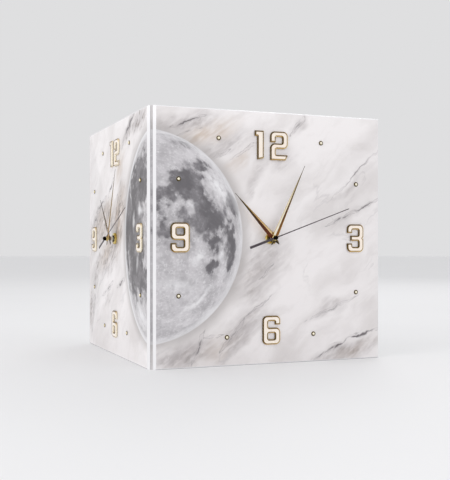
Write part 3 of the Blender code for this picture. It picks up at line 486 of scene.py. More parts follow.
def turned(profile: list[Point2], steps: int = 48, finish: int | Array = 0) -> Shell:
    """Surface of revolution: each radius and height of the profile swept round z."""
    radius, height = np.array(profile).T
    return Shell().grid(circle(radius, steps, height), finish)


def rounded(corners: list[Point3], facet: float = 0.35) -> Array:
    """Outline with an arc at each corner.

    Each arc's centre lies on the corner's bisector at radius over the sine of half the
    corner's opening, and the arc sweeps from one side's tangent point to the other's.

    Args:
        corners: x, y and fillet radius of each corner.
        facet: length of an arc's facets.

    Returns:
        Points of shape (count, 2).
    """
    at = np.array(corners)[:, :2]
    parts = []
    for index, (_, _, radius) in enumerate(corners):
        before, after = at[index - 1] - at[index], at[(index + 1) % len(at)] - at[index]
        start, end = math.atan2(before[1], before[0]), math.atan2(after[1], after[0])
        opening = math.remainder(end - start, math.tau)
        middle = start + opening / 2.0
        reach = radius / math.sin(abs(opening) / 2.0)
        sweep = math.copysign(math.pi - abs(opening), -opening)
        steps = max(2, round(abs(sweep) * radius / facet))
        turn = middle + math.pi + sweep * (np.linspace(0.0, 1.0, steps + 1) - 0.5)
        centre = at[index] + reach * np.array([math.cos(middle), math.sin(middle)])
        parts.append(centre + radius * np.stack([np.cos(turn), np.sin(turn)], axis=-1))
    return np.concatenate(parts)


def inset(outline: Array, depth: float) -> Array:
    """Outline moved towards its left-hand side.

    Each point goes along the sum of its two sides' normals over one plus their dot
    product, which keeps every side parallel to itself.

    Args:
        outline: points of shape (count, 2).
        depth: how far its sides move.

    Returns:
        The moved points.
    """
    ahead = np.roll(outline, -1, axis=0) - outline
    ahead /= np.linalg.norm(ahead, axis=1, keepdims=True)
    after = np.stack([-ahead[:, 1], ahead[:, 0]], axis=-1)
    before = np.roll(after, 1, axis=0)
    share = 1.0 + np.sum(before * after, axis=1, keepdims=True)
    return outline + depth * (before + after) / share


def facing(outline: Array, way: Point2) -> Array:
    """How far each point of an outline faces a way.

    Args:
        outline: points of shape (count, 2).
        way: the direction, of length one.

    Returns:
        For each point, one for straight that way, zero for straight away from it.
    """
    out = outline - inset(outline, 1.0)
    out /= np.linalg.norm(out, axis=1, keepdims=True)
    return 0.5 + 0.5 * (out @ np.array(way))


def raised(outline: Array, profile: list[Point2]) -> Array:
    """Rings of a profile carried along an outline: for each, its inset and height."""
    rings = [(inset(outline, depth), height) for depth, height in profile]
    return np.stack([np.column_stack([ring, np.full(len(ring), z)]) for ring, z in rings])


# Finishes: what each surface is made of and how it was worked, some with light and shade painted on


@dataclass(frozen=True)
class Finish:
    """Surface with an even grain, drawn by one noise over the object's own axes.

    The grain is in millimetres. Polish, plating and mould grain are too fine to show,
    so theirs is drawn coarser, as large as the render can carry.
    """

    name: str
    colour: str
    deeper: str
    roughness: float
    metallic: float = 0.0
    coat: float = 0.0
    grain: float = 1.0
    relief: float = 0.0
    spread: float = 0.06

    def material(self) -> bpy.types.Material:
        """Build the material.

        Returns:
            A Principled material whose colour, gloss and relief follow the grain.
        """
        material, tree, shader = blank(self.name)
        marks = grain(tree, self.grain)
        low, high = self.roughness - self.spread, self.roughness + self.spread
        worn = {
            "Base Color": over(tree, self.colour, self.deeper, marks),
            "Roughness": add(tree, "MapRange", marks, 0.3, 0.7, low, high),
            "Metallic": self.metallic,
            "Coat Weight": self.coat,
            "Coat Roughness": 0.05,
        }
        feed(shader, worn)
        if self.relief:
            emboss(tree, shader, marks, self.relief)
        return material


@dataclass(frozen=True)
class ShadedMetal:
    """Metal that runs through four colours as the piece's shade goes from zero to one.

    A cloudy tarnish lies in it, grains of a millimetre or two, as on handled brass. The ramp over
    the shade paints light and shade on.
    """

    name: str
    colours: tuple[str, str, str, str]
    middle: Point2
    roughness: float = 0.25
    metallic: float = 0.9
    grain: float = 1.5

    def material(self) -> bpy.types.Material:
        """Build the material.

        Returns:
            A Principled material: a ramp over the shade, multiplied by the tarnish.
        """
        material, tree, shader = blank(self.name)
        shade = add(tree, "Attribute", attribute_name="shade").node.outputs["Fac"]
        ramp = add(tree, "ValToRGB", shade).node
        elements = ramp.color_ramp.elements
        for position in self.middle:
            elements.new(position)
        for element, colour in zip(elements, self.colours):
            element.color = linear(colour)
        cloud = grain(tree, self.grain)
        share = add(tree, "MapRange", cloud, 0.35, 0.75, 0.0, 0.3)
        mixed = {0: share, 6: ramp.outputs["Color"], 7: linear("#7A6A4A")}
        low, high = self.roughness - 0.05, self.roughness + 0.08
        worn = {
            "Base Color": add(tree, "Mix", mixed, data_type="RGBA", blend_type="MULTIPLY"),
            "Roughness": add(tree, "MapRange", cloud, 0.3, 0.7, low, high),
            "Metallic": self.metallic,
        }
        feed(shader, worn)
        return material


@dataclass(frozen=True)
class Blot:
    """Soft ellipse of the printing, placed by its distance from the corner and foot."""

    along: float
    up: float
    length: float
    width: float
    turn: float = 0.0
    strength: float = 1.0


def patches(*rows: tuple[float, ...]) -> tuple[Blot, ...]:
    """Blots, each from a row of its fields."""
    return tuple(Blot(*row) for row in rows)


def strokes(*rows: tuple[float, ...]) -> tuple[Blot, ...]:
    """Blots drawn out between two points, as veins of marble are.

    Args:
        rows: along and up of one end, along and up of the other, width and strength.

    Returns:
        The blots.
    """
    return tuple(
        Blot(
            (left + right) / 2.0,
            (low + high) / 2.0,
            math.hypot(right - left, high - low) / 2.0,
            width,
            math.degrees(math.atan2(high - low, right - left)),
            strength,
        )
        for left, low, right, high, width, strength in rows
    )


@dataclass(frozen=True)
class Marble:
    """Layout of the marble on one face, and its colours."""

    lean: float
    mottle: float
    veins: tuple[Blot, ...]
    bands: tuple[Blot, ...]
    warmth: tuple[Blot, ...]
    ground: str = "#F3EFEF"
    band: str = "#B0A9A9"
    stain: str = "#C2AF9E"
    halo: str = "#B3ADAF"
    crack: str = "#7C7578"
    heart: str = "#5A5356"
    hair: str = "#A9A4A7"


@dataclass(frozen=True)
class Moon:
    """Layout of the moon on one face: disc, dark plains, bright patches; and colours."""

    along: float
    up: float
    radius: float
    plains: tuple[Blot, ...]
    light: tuple[Blot, ...]
    rim: float = 0.6
    ground: str = "#CAC7CA"
    dust: str = "#7B787C"
    deep: str = "#5E5B5F"
    bright: str = "#F0EFF1"
    crater: str = "#EBEAEC"
    limb: str = "#ECEBED"
    shadow: str = "#97918F"


# Clouds and brushed streaks of the stone, flecks in its bands, and tones of the moon's
# ground: length and width in millimetres, limits of the noise, colour, and share if set
STREAKS = (
    ((130.0, 50.0), (0.42, 0.66), "#DFDAD9", 0.75),
    ((60.0, 18.0), (0.50, 0.74), "#D2CCCB", 0.34),
    ((24.0, 7.0), (0.54, 0.76), "#D2CCCB", 0.14),
)
FLECKS = (((26.0, 12.0), (0.50, 0.70), "#F0E9E7"), ((13.0, 5.0), (0.48, 0.68), "#7A6D65"))
MOON_TONES = (
    ((46.0, 46.0), (0.44, 0.62), "#B1AEB1", 0.75),
    ((15.0, 15.0), (0.46, 0.66), "#DBD8DB", 0.6),
    ((7.0, 7.0), (0.48, 0.70), "#AAA7AA", 0.4),
    ((3.0, 3.0), (0.50, 0.68), "#E6E4E6", 0.4),
)
# Other noises of the stone and the moon: length and width in millimetres, and limits
BAND_GRAIN = ((26.0, 6.0), (0.30, 0.62))
VEIN_BREAKS = ((12.0, 4.0), (0.30, 0.52))
HAIR_COURSE = ((190.0, 60.0), (0.0, 1.0))
HAIR_FIELDS = ((80.0, 40.0), (0.48, 0.66))
PLAIN_SHORES = ((11.0, 11.0), (0.18, 0.82))
PLAIN_WEAR = ((4.0, 4.0), (0.28, 0.56))
PLAIN_DEPTHS = ((24.0, 24.0), (0.44, 0.60))
LIGHT_GRAIN = ((8.0, 8.0), (0.28, 0.54))
CRATER_PITCH = 9.0
# How noise pushes edges about: its size and reach in millimetres, and its detail
SOFT_PUSH = (42.0, 34.0, 3.0)
CRISP_PUSH = (14.0, 11.0, 6.0)
HAIR_PUSH = (60.0, 46.0, 3.0)
SHORE_PUSH = (26.0, 14.0, 2.0)


@dataclass(frozen=True)
class PrintedFace:
    """Acrylic printed with marble and a moon under its polished surface.

    The eye sees a matt picture through a clear, wet-looking surface, so the base is
    rough and a clear coat carries the gloss.
    """

    name: str
    wing: Wing
    marble: Marble
    moon: Moon
    # Share and colour of painted shade laid over the whole print, used for the shade in the seam
    seam_shade_share: float = 0.0
    seam_shade_colour: str = "#5F5C61"

    def warped(self, tree: Any, at: Any, size: float, reach: float, detail: float) -> Any:
        """Coordinates pushed about by noise, so that edges wander as natural ones do.

        Args:
            tree: the node tree.
            at: coordinates in millimetres.
            size: size of the noise.
            reach: how far the noise pushes from end to end.
            detail: how fine the noise goes.

        Returns:
            The pushed coordinates.
        """
        noise = add(tree, "TexNoise", {"Vector": at, "Scale": 1.0 / size, "Detail": detail})
        push = noise.node.outputs["Color"]
        push = add(tree, "VectorMath", push, (0.5, 0.5, 0.5), operation="SUBTRACT")
        push = add(tree, "VectorMath", {0: push, "Scale": reach}, operation="SCALE")
        return add(tree, "VectorMath", at, push, operation="ADD")

    def blots(
        self, tree: Any, at: Any, blots: tuple[Blot, ...], inner: float, grow: float = 1.0
    ) -> Any:
        """Strongest blot at each point: full inside the inner share, none at the rim.

        Args:
            tree: the node tree.
            at: coordinates in millimetres.
            blots: the ellipses.
            inner: share of an ellipse from which it fades.
            grow: what the ellipses' half axes are multiplied by.

        Returns:
            A socket from zero to one.
        """
        total: Any = 0.0
        for blot in blots:
            frame = {
                "Vector": at,
                "Location": (blot.along, blot.up, 0.0),
                "Rotation": (0.0, 0.0, math.radians(blot.turn)),
                "Scale": (blot.length * grow, blot.width * grow, FACE_SIZE * FACE_SIZE),
            }
            local = add(tree, "Mapping", frame, vector_type="TEXTURE")
            out = add(tree, "VectorMath", local, operation="LENGTH")
            fade = (out, 1.0, inner, 0.0, blot.strength)
            share = add(tree, "MapRange", *fade, interpolation_type="SMOOTHSTEP")
            total = add(tree, "Math", total, share, operation="MAXIMUM")
        return total

    def noise(self, tree: Any, at: Any, turn: float, size: Point2, limits: Point2) -> Any:
        """Noise cut to zero and one between limits.

        Args:
            tree: the node tree.
            at: coordinates in millimetres.
            turn: degrees from level that the length of its marks lies at.
            size: their length and width in millimetres.
            limits: where the noise gives zero and where it gives one.

        Returns:
            A socket from zero to one.
        """
        frame = {"Vector": at, "Rotation": (0.0, 0.0, math.radians(turn))}
        frame["Scale"] = (*size, size[1])
        laid = add(tree, "Mapping", frame, vector_type="TEXTURE")
        drawn = add(tree, "TexNoise", {"Vector": laid, "Scale": 1.0, "Detail": 6.0})
        return add(tree, "MapRange", drawn, *limits, 0.0, 1.0, interpolation_type="SMOOTHSTEP")

    def stone(self, tree: Any, at: Any) -> Any:
        """White marble: clouds, brushed streaks, grey bands, warm stains, dark veins.

        Args:
            tree: the node tree.
            at: coordinates in millimetres.

        Returns:
            The colour's socket.
        """
        marble, lean = self.marble, self.marble.lean
        soft = self.warped(tree, at, *SOFT_PUSH)
        colour: Any = marble.ground
        for size, limits, tint, share in STREAKS:
            streaks = self.noise(tree, soft, lean, size, limits)
            colour = over(tree, colour, tint, streaks, share)
        crisp = self.warped(tree, at, *CRISP_PUSH)
        fine = self.noise(tree, at, lean, *BAND_GRAIN)
        shade = add(tree, "MapRange", fine, 0.0, 1.0, 0.4, 1.0)
        bands = self.blots(tree, soft, marble.bands, 0.1)
        colour = over(tree, colour, marble.band, bands, shade)
        warmth = self.blots(tree, soft, marble.warmth, 0.0)
        colour = over(tree, colour, marble.stain, warmth, shade)
        for size, limits, tint in FLECKS:
            flecks = self.noise(tree, crisp, lean, size, limits)
            colour = over(tree, colour, tint, flecks, bands, marble.mottle)
        # A vein: a pale halo, a crack on each side of it, and a dark heart
        broken = self.noise(tree, at, lean, *VEIN_BREAKS)
        near = self.blots(tree, crisp, marble.veins, 0.0, 2.0)
        colour = over(tree, colour, marble.halo, near, broken, 0.4)
        beside = within(tree, near, 0.3, 0.0, soft=0.07, full=0.55)
        colour = over(tree, colour, marble.crack, beside, broken)
        core = add(tree, "MapRange", near, 0.5, 0.9, 0.0, 0.9, interpolation_type="SMOOTHSTEP")
        colour = over(tree, colour, marble.heart, core, broken)
        # Hair lines run where a slow noise crosses its middle
        bent = self.warped(tree, at, *HAIR_PUSH)
        course = self.noise(tree, bent, lean, *HAIR_COURSE)
        hair = within(tree, course, 0.5, 0.0, soft=0.02)
        where = self.noise(tree, at, lean, *HAIR_FIELDS)
        return over(tree, colour, marble.hair, hair, where, 0.28)

    def sky(self, tree: Any, at: Any) -> tuple[Any, Any, Any]:
        """Moon: its ground in four tones, worn plains, light patches and craters.

        A point of the disc is lifted to the ball that it pictures, height being the
        root of one less its squared distance, so marks narrow towards the limb. A plain
        shows where the sum of its blot and a rough noise passes a half.

        Args:
            tree: the node tree.
            at: coordinates in millimetres.

        Returns:
            Share and colour of the disc, and the share of its shadow on the stone.
        """
        moon = self.moon
        frame = {
            "Vector": at,
            "Location": (moon.along, moon.up, 0.0),
            "Scale": (moon.radius, moon.radius, FACE_SIZE * FACE_SIZE),
        }
        disc = add(tree, "Mapping", frame, vector_type="TEXTURE")
        out = add(tree, "VectorMath", disc, operation="LENGTH")
        inside = add(tree, "MapRange", out, 1.006, 0.998, 0.0, 1.0)
        squared = product(tree, out, out)
        height = add(tree, "Math", 1.0, squared, operation="SUBTRACT", use_clamp=True)
        height = add(tree, "Math", height, operation="SQRT")
        lifted = add(tree, "CombineXYZ", {2: height})
        ball = add(tree, "VectorMath", disc, lifted, operation="ADD")
        ball = add(tree, "VectorMath", {0: ball, "Scale": moon.radius}, operation="SCALE")
        colour: Any = moon.ground
        for size, limits, tint, share in MOON_TONES:
            patch = self.noise(tree, ball, 0.0, size, limits)
            colour = over(tree, colour, tint, patch, share)
        # Plains, with a haze round them and deeper parts inside
        wander = self.warped(tree, at, *SHORE_PUSH)
        rough = self.noise(tree, ball, 0.0, *PLAIN_SHORES)
        lift = add(tree, "MapRange", rough, 0.0, 1.0, -0.42, 0.42)
        level = self.blots(tree, wander, moon.plains, 0.1, 1.75)
        level = add(tree, "Math", level, lift, operation="ADD")
        haze = add(tree, "MapRange", level, 0.05, 0.7, 0.0, 0.5)
        colour = over(tree, colour, moon.dust, haze)
        cut = (level, 0.3, 0.75, 0.0, 1.0)
        plains = add(tree, "MapRange", *cut, interpolation_type="SMOOTHSTEP")
        worn = self.noise(tree, ball, 0.0, *PLAIN_WEAR)
        worn = add(tree, "MapRange", worn, 0.0, 1.0, 0.6, 1.0)
        colour = over(tree, colour, moon.dust, plains, worn)
        deep = self.noise(tree, ball, 0.0, *PLAIN_DEPTHS)
        colour = over(tree, colour, moon.deep, plains, deep, 0.8)
        light = self.blots(tree, wander, moon.light, 0.0)
        streaked = self.noise(tree, ball, 0.0, *LIGHT_GRAIN)
        colour = over(tree, colour, moon.bright, light, streaked)
        # Crater rims: a ring round the middle of each cell of a pattern, off the plains
        cells = {"Vector": ball, "Scale": 1.0 / CRATER_PITCH}
        pit = add(tree, "TexVoronoi", cells, feature="F1")
        ring = within(tree, pit, 0.24, 0.0, soft=0.07, full=0.4)
        clear = add(tree, "Math", 1.0, plains, operation="SUBTRACT")
        colour = over(tree, colour, moon.crater, ring, clear)
        limb = add(tree, "MapRange", out, 0.945, 0.985, 0.0, 0.85)
        colour = over(tree, colour, moon.limb, limb, moon.rim)
        cast = (out, 1.13, 0.99, 0.0, 0.55)
        shadow = add(tree, "MapRange", *cast, interpolation_type="SMOOTHSTEP")
        return inside, colour, shadow

    def material(self) -> bpy.types.Material:
        """Build the material.

        Returns:
            A Principled material with the stone, the moon's shadow and the moon on it, under
            painted shade where a share of it is set.
        """
        material, tree, shader = blank(self.name)
        at = on_wing(tree, self.wing, (-CORNER_AT, 0.0, 0.0))
        inside, moon, shadow = self.sky(tree, at)
        ground = over(tree, self.stone(tree, at), self.moon.shadow, shadow)
        whole = over(tree, ground, moon, inside)
        # Painted shade laid over the print, where a share is set
        seen = over(tree, whole, self.seam_shade_colour, self.seam_shade_share)
        gloss = {"Roughness": 0.5, "Coat Weight": 0.3, "Coat Roughness": 0.22}
        feed(shader, {"Base Color": seen, **gloss})
        return material


FRONT_PRINT = PrintedFace(
    "acrylic_printed_with_marble_and_moon_front",
    Wing.FRONT,
    Marble(
        lean=38,
        mottle=0.3,
        veins=strokes(
            (28, 278, 66, 290, 1.6, 0.9), (34, 268, 60, 277, 1.2, 0.7),
            (72, 238, 98, 254, 1.4, 0.6), (96, 240, 140, 268, 2, 0.45),
            (178, 274, 196, 296, 2.6, 0.7), (240, 204, 299, 262, 1.1, 0.8),
            (228, 166, 266, 182, 1.8, 0.8), (256, 180, 299, 198, 1.6, 0.85),
            (200, 50, 262, 76, 1.6, 0.7), (206, 2, 262, 28, 1.5, 1),
            (244, 22, 299, 36, 1.3, 0.95), (52, 6, 66, 40, 2, 0.8),
            (62, 34, 92, 36, 1.6, 0.5), (88, 18, 116, 52, 2.2, 0.7),
            (112, 50, 160, 88, 1.8, 0.38), (132, 98, 158, 122, 1.6, 0.4),
        ),
        bands=patches(
            (46, 284, 58, 18, 10, 0.8), (88, 256, 60, 18, 30, 0.7),
            (128, 218, 46, 13, 58, 0.5), (168, 244, 30, 16, 50, 0.45),
            (188, 286, 26, 9, 62, 0.55), (262, 214, 50, 7, 44, 0.4),
            (254, 176, 52, 9, 26, 0.2), (136, 110, 66, 36, 56, 0.7),
            (112, 40, 72, 20, 46, 0.75), (40, 14, 60, 20, 8, 0.9),
            (228, 62, 46, 10, 24, 0.5), (258, 10, 76, 20, 14, 0.85),
        ),
        warmth=patches(
            (68, 270, 60, 18, 20, 0.9), (108, 238, 34, 13, 44, 0.5),
            (80, 20, 44, 16, 40, 0.3), (270, 12, 50, 14, 22, 0.3),
        ),
    ),
    Moon(
        along=-8.5,
        up=150.5,
        radius=122.5,
        plains=patches(
            (44, 211, 21, 19), (63, 231, 10, 7, -30, 0.85),
            (62, 190, 14, 12, -50, 0.95), (66, 169, 31, 20, -10),
            (80, 144, 14, 9, 80, 0.8), (98, 136, 25, 7, 86, 0.95),
            (77, 115, 9, 8, 70, 0.75), (101.5, 189, 13, 5.6, -64),
            (20, 196, 18, 16, 0, 0.7), (18, 160, 15, 14, 0, 0.62),
            (42, 259, 22, 5, -14, 0.42),
        ),
        light=patches(
            (84, 208, 30, 11, -54, 1), (58, 126, 16, 9, 40, 0.8),
            (52, 189, 9, 4, -20, 0.7), (87, 130, 4, 14, 0, 0.7),
            (33, 96, 30, 12, 0, 0.5), (58, 78, 42, 4, 40, 0.8),
            (70, 60, 34, 8, 36, 0.5),
        ),
    ),
)

SIDE_PRINT = PrintedFace(
    "acrylic_printed_with_marble_and_moon_side",
    Wing.SIDE,
    Marble(
        lean=-38,
        mottle=1,
        veins=strokes(
            (108, 274, 58, 302, 2.4, 1), (120, 262, 96, 282, 2, 0.6),
            (186, 208, 164, 226, 2.4, 0.9), (252, 190, 206, 204, 2.6, 0.9),
            (282, 168, 244, 186, 2.4, 0.8), (218, 74, 166, 92, 2.6, 0.8),
            (138, 88, 110, 98, 2.4, 0.9), (206, 116, 150, 140, 2.4, 0.6),
            (262, 142, 216, 158, 2.2, 0.6), (172, 176, 140, 206, 2, 0.6),
            (240, 86, 196, 112, 2.4, 0.6), (284, 20, 262, 70, 2.6, 0.6),
        ),
        bands=patches(
            (228, 168, 110, 40, -12, 0.75), (136, 168, 74, 34, -70, 0.9),
            (186, 130, 90, 34, -20, 0.7), (250, 108, 60, 22, -44, 0.6),
            (44, 290, 56, 22, 0, 0.8), (284, 50, 44, 20, -80, 0.8),
            (92, 284, 48, 11, -34, 0.8), (190, 70, 44, 10, -30, 0.3),
        ),
        warmth=patches(
            (206, 176, 110, 32, -14, 0.6), (132, 172, 66, 34, -70, 1),
            (128, 236, 46, 16, -40, 0.6), (196, 132, 70, 24, -26, 0.7),
        ),
    ),
    Moon(
        along=-19,
        up=150.5,
        radius=123.5,
        plains=patches(
            (74, 170, 50, 60, 0), (34, 216, 36, 32, -20),
            (52, 112, 34, 30, -20), (20, 100, 22, 20, 0, 0.8),
        ),
        light=patches(
            (36, 182, 20, 9, 0, 0.7), (64, 170, 6, 18, 10, 0.7),
            (76, 204, 5, 20, -10, 0.6), (48, 120, 6, 16, 20, 0.5),
            (30, 60, 40, 14, 30, 0.7),
        ),
        rim=0.9,
        ground="#C6C3C5",
        dust="#706C6F",
        deep="#4E4A4D",
    ),
)

# The print of the corner post's strip, darkened by painted shade: the shade in the joint between
# the two plates
SEAM_PRINT = replace(FRONT_PRINT, name="acrylic_printed_strip_with_painted_seam_shade", seam_shade_share=0.35)


@dataclass(frozen=True)
class Cell:
    """Battery: a printed sleeve with a pale band, between bare steel ends."""

    name: str
    wing: Wing
    can: float = 23.2
    band: Point2 = (17.2, 2.2)

    def material(self) -> bpy.types.Material:
        """Build the material from the distance along the cell's own axis.

        Returns:
            A Principled material: enamel on the sleeve, steel past its ends.
        """
        material, tree, shader = blank(self.name)
        at = bench(tree, self.wing)
        along = add(tree, "SeparateXYZ", at)
        sleeve = within(tree, along, 0.0, self.can)
        bare = add(tree, "Math", 1.0, sleeve, operation="SUBTRACT")
        scuffs = add(tree, "TexNoise", {"Vector": at, "Scale": 0.7, "Detail": 3.0})
        colour = over(tree, "#363F52", "#434C60", scuffs)
        colour = over(tree, colour, "#B9BEC6", within(tree, along, *self.band))
        colour = over(tree, colour, "#C6C8C9", bare)
        gloss = add(tree, "MapRange", scuffs, 0.3, 0.7, 0.22, 0.38)
        feed(shader, {"Base Color": colour, "Metallic": bare, "Roughness": gloss})
        return material


@dataclass(frozen=True)
class Coil:
    """Enamelled copper wire between nylon flanges, on a yoke of bright steel sheet.

    The wire is 0.04 mm thick, too fine to see, so its turns are drawn 0.35 mm apart.
    """

    name: str
    wing: Wing
    middle: Point2 = (-7.25, 15.8)
    half: Point2 = (10.25, 2.4)
    flange: float = 0.8
    pitch: float = 0.35

    def material(self) -> bpy.types.Material:
        """Build the material: yoke everywhere, then flanges, then wire between them.

        Returns:
            A Principled material with the gaps between the turns painted dark as shade, and sunk.
        """
        material, tree, shader = blank(self.name)
        at = bench(tree, self.wing)
        x, y, _ = add(tree, "SeparateXYZ", at).node.outputs
        across = within(tree, y, self.middle[1], self.half[1] + 0.1)
        bobbin = product(tree, across, within(tree, x, self.middle[0], self.half[0] + 0.1))
        length = self.half[0] - self.flange
        wire = product(tree, across, within(tree, x, self.middle[0], length))
        gaps = lines(tree, x, self.pitch, 0.3)
        cloud = add(tree, "TexNoise", {"Vector": at, "Scale": 0.8, "Detail": 3.0})
        bare = over(tree, over(tree, "#A9ACB0", "#888B90", cloud), "#E9E5DA", bobbin)
        # The gaps between the turns painted dark: shade between the wires
        copper = over(tree, over(tree, "#D07A40", "#A85A2A", cloud), "#5A2A10", gaps)
        nylon = add(tree, "Math", bobbin, wire, operation="SUBTRACT")
        metal = add(tree, "Math", 1.0, nylon, operation="SUBTRACT")
        colour = over(tree, bare, copper, wire)
        feed(shader, {"Base Color": colour, "Metallic": metal, "Roughness": 0.36})
        sunk = add(tree, "Math", 1.0, product(tree, gaps, wire), operation="SUBTRACT")
        emboss(tree, shader, sunk, 0.06)
        return material


@dataclass(frozen=True)
class Circuit:
    """Green solder mask over copper tracks, tinned pads, and resin over the chip."""

    name: str
    wing: Wing
    chip: Point2 = (-19.9, -5.0)
    drop: float = 3.05
    pitch: float = 1.3

    def material(self) -> bpy.types.Material:
        """Build the material: tracks run along x or along y as a slow noise says.

        Returns:
            A Principled material with the tracks raised.
        """
        material, tree, shader = blank(self.name)
        at = bench(tree, self.wing)
        x, y, _ = add(tree, "SeparateXYZ", at).node.outputs
        slow = add(tree, "TexNoise", {"Vector": at, "Scale": 0.2, "Detail": 0.0})
        way = add(tree, "Math", slow, 0.5, operation="GREATER_THAN")
        rows, columns = (lines(tree, across, self.pitch, 0.3) for across in (y, x))
        tracks = add(tree, "Mix", {0: way, 2: rows, 3: columns})
        colour = over(tree, "#1A5E34", "#3C8A4C", tracks)
        pads = product(tree, *(lines(tree, across, 2.0 * self.pitch, 0.22) for across in (x, y)))
        colour = over(tree, colour, "#CFD1D3", pads)
        out = add(tree, "VectorMath", at, (*self.chip, 0.0), operation="SUBTRACT")
        out = add(tree, "VectorMath", out, (1.0, 1.0, 0.0), operation="MULTIPLY")
        resin = within(tree, add(tree, "VectorMath", out, operation="LENGTH"), 0.0, self.drop)
        bare = add(tree, "Math", 1.0, resin, operation="SUBTRACT")
        colour = over(tree, colour, "#141416", resin)
        metal = product(tree, pads, bare)
        feed(shader, {"Base Color": colour, "Metallic": metal, "Roughness": 0.34})
        emboss(tree, shader, tracks, 0.04)
        return material


class Dress(Enum):
    """Finishes, by the part that wears them."""

    # Clear acrylic under its print; the picture is matt and the surface over it satin
    PRINT_FRONT = FRONT_PRINT
    PRINT_SIDE = SIDE_PRINT
    # The strip in the seam: the print with the painted shade of the joint over it
    PRINT_SEAM = SEAM_PRINT
    # Acrylic edges flame polished over a white back, painted near white as the highlight that they
    # catch
    EDGE = Finish("acrylic_edge_polished_painted_highlight", "#F1F0F1", "#E9E8EA", 0.16, coat=0.5, grain=30.0)
    # Brass sheet, bevelled and gilt, with light and shade painted on: bevels that face the lower
    # right are painted lit warm gilt, those that face the upper left painted shaded dark bronze
    RIM = ShadedMetal(
        "brass_bevel_gilt_painted_light_and_shade",
        ("#EED49A", "#C79E5C", "#8E7240", "#645230"),
        (0.42, 0.60),
    )
    # The same bevels on the side wing, painted for light that meets them flatter: the lit gilt
    # nearly white
    RIM_SIDE = ShadedMetal(
        "brass_bevel_gilt_painted_light_and_shade_side",
        ("#FFF6E0", "#E8CFA0", "#8E7240", "#5C4A28"),
        (0.42, 0.60),
        metallic=0.4,
    )
    # The line between bevel and face, painted dark as the shade of a groove too narrow to catch
    # light
    GROOVE = Finish("brass_groove_painted_shade", "#7A6430", "#54461F", 0.35, 0.9, grain=1.5)
    # Mirror sheet painted cream, as the reflection of a white room, faintly rosy in places
    CREAM = Finish("mirror_sheet_painted_reflection_cream", "#FFFAF0", "#FFEBD9", 0.22, coat=0.5, grain=14.0)
    # Domes of the hour dots: polished, painted near white on top as their highlight
    DOME = Finish("brass_dome_painted_highlight", "#FFFDF2", "#F8EBC4", 0.15, 0.3, grain=1.0)
    # Their rings, painted dark as shade round each dome, so that each dot has a dark outline
    DOT_RING = Finish("brass_ring_painted_shade", "#6A5C32", "#453B20", 0.3, 0.8, grain=1.0)
    # Hour hand, with light and shade painted on: lower flank painted shaded deep brown, upper flank
    # painted lit amber, both painted dark at the point
    HOUR_DARK = ShadedMetal(
        "brass_flank_painted_shade_brown",
        ("#74340F", "#4E2C10", "#3C2E14", "#241F14"),
        (0.35, 0.7),
        metallic=0.5,
    )
    HOUR_GOLD = ShadedMetal(
        "brass_flank_painted_light_amber",
        ("#FBE2AE", "#E8C284", "#A98A4C", "#40361E"),
        (0.4, 0.75),
    )
    # The side wing's hour hand has its upper flank painted lit in olive instead
    HOUR_OLIVE = ShadedMetal(
        "brass_flank_painted_light_olive",
        ("#A98D50", "#7E683A", "#5A4B2A", "#352D19"),
        (0.4, 0.75),
        metallic=0.6,
    )
    # Minute hand, with light and shade painted on: left flank painted lit near white, right flank
    # painted shaded brown
    MINUTE_CREAM = ShadedMetal(
        "brass_flank_painted_light_cream",
        ("#FFFAEA", "#FFF1CC", "#A8945A", "#3A3119"),
        (0.55, 0.8),
        roughness=0.2,
        metallic=0.5,
    )
    MINUTE_BROWN = ShadedMetal(
        "brass_flank_painted_shade_umber",
        ("#A06C2C", "#643C10", "#57461C", "#231D0F"),
        (0.3, 0.6),
        metallic=0.5,
    )
    # Its chamfered hem: gilt, painted darker towards the point as shade
    MINUTE_HEM = ShadedMetal(
        "brass_edge_gilt_painted_shade_to_point",
        ("#EBCB82", "#C9A45A", "#8A7038", "#3A2E18"),
        (0.55, 0.8),
        metallic=0.6,
    )
    # Second hand: steel needle, blackened and satin, under a glossy black cap
    NEEDLE = Finish("steel_needle_blackened", "#564D52", "#433C40", 0.42, 0.4, grain=0.8)
    CAP = Finish("steel_cap_blackened", "#16120B", "#0B0906", 0.3, 1.0, grain=1.0)
    # Machined brass: yellow, with painted light: each flat of the hexagon lighter the more it faces
    # the bright way
    NUT = ShadedMetal(
        "brass_nut_painted_light_by_flat",
        ("#7A611C", "#C9A640", "#FBEB98", "#E2C561"),
        (0.35, 0.65),
        roughness=0.2,
    )
    # Turned brass of studs, small nut and pinion: a bright even yellow
    BRASS = Finish("brass_turned_bright", "#F3E3A8", "#D8B860", 0.18, 0.9, grain=1.0)
    # Fibreboard under a matt white foil: white with a faint pebbled skin
    BOARD = Finish("fibreboard_white_foil", "#EDECEA", "#E2E1DE", 0.55, grain=1.6, relief=0.02)
    # Lacquered wood: smoother and glossier than the foil beside it
    LACQUER = Finish("wood_white_lacquer", "#F3F2F1", "#EAE9E8", 0.32, coat=0.25, grain=6.0)
    # Zinc plating: blue-grey with soft spangles
    ZINC = Finish(
        "steel_zinc_plated", "#B9BDC2", "#9A9FA6", 0.34, 1.0, grain=4.0, relief=0.01, spread=0.12
    )
    # Moulded rubber: dead black, no highlight
    RUBBER = Finish("rubber_moulded_black", "#171717", "#232323", 0.80, grain=0.5, relief=0.02)
    # Black ABS from a spark-eroded mould: an even, fine, dull grain
    CASE = Finish("abs_moulded_black_grained", "#1B1B1D", "#262629", 0.52, grain=0.35, relief=0.03)
    # Moulded acetal: waxy ivory
    GEAR = Finish("acetal_moulded_ivory", "#E4DFCE", "#D3CCB6", 0.40, grain=0.7, relief=0.005)
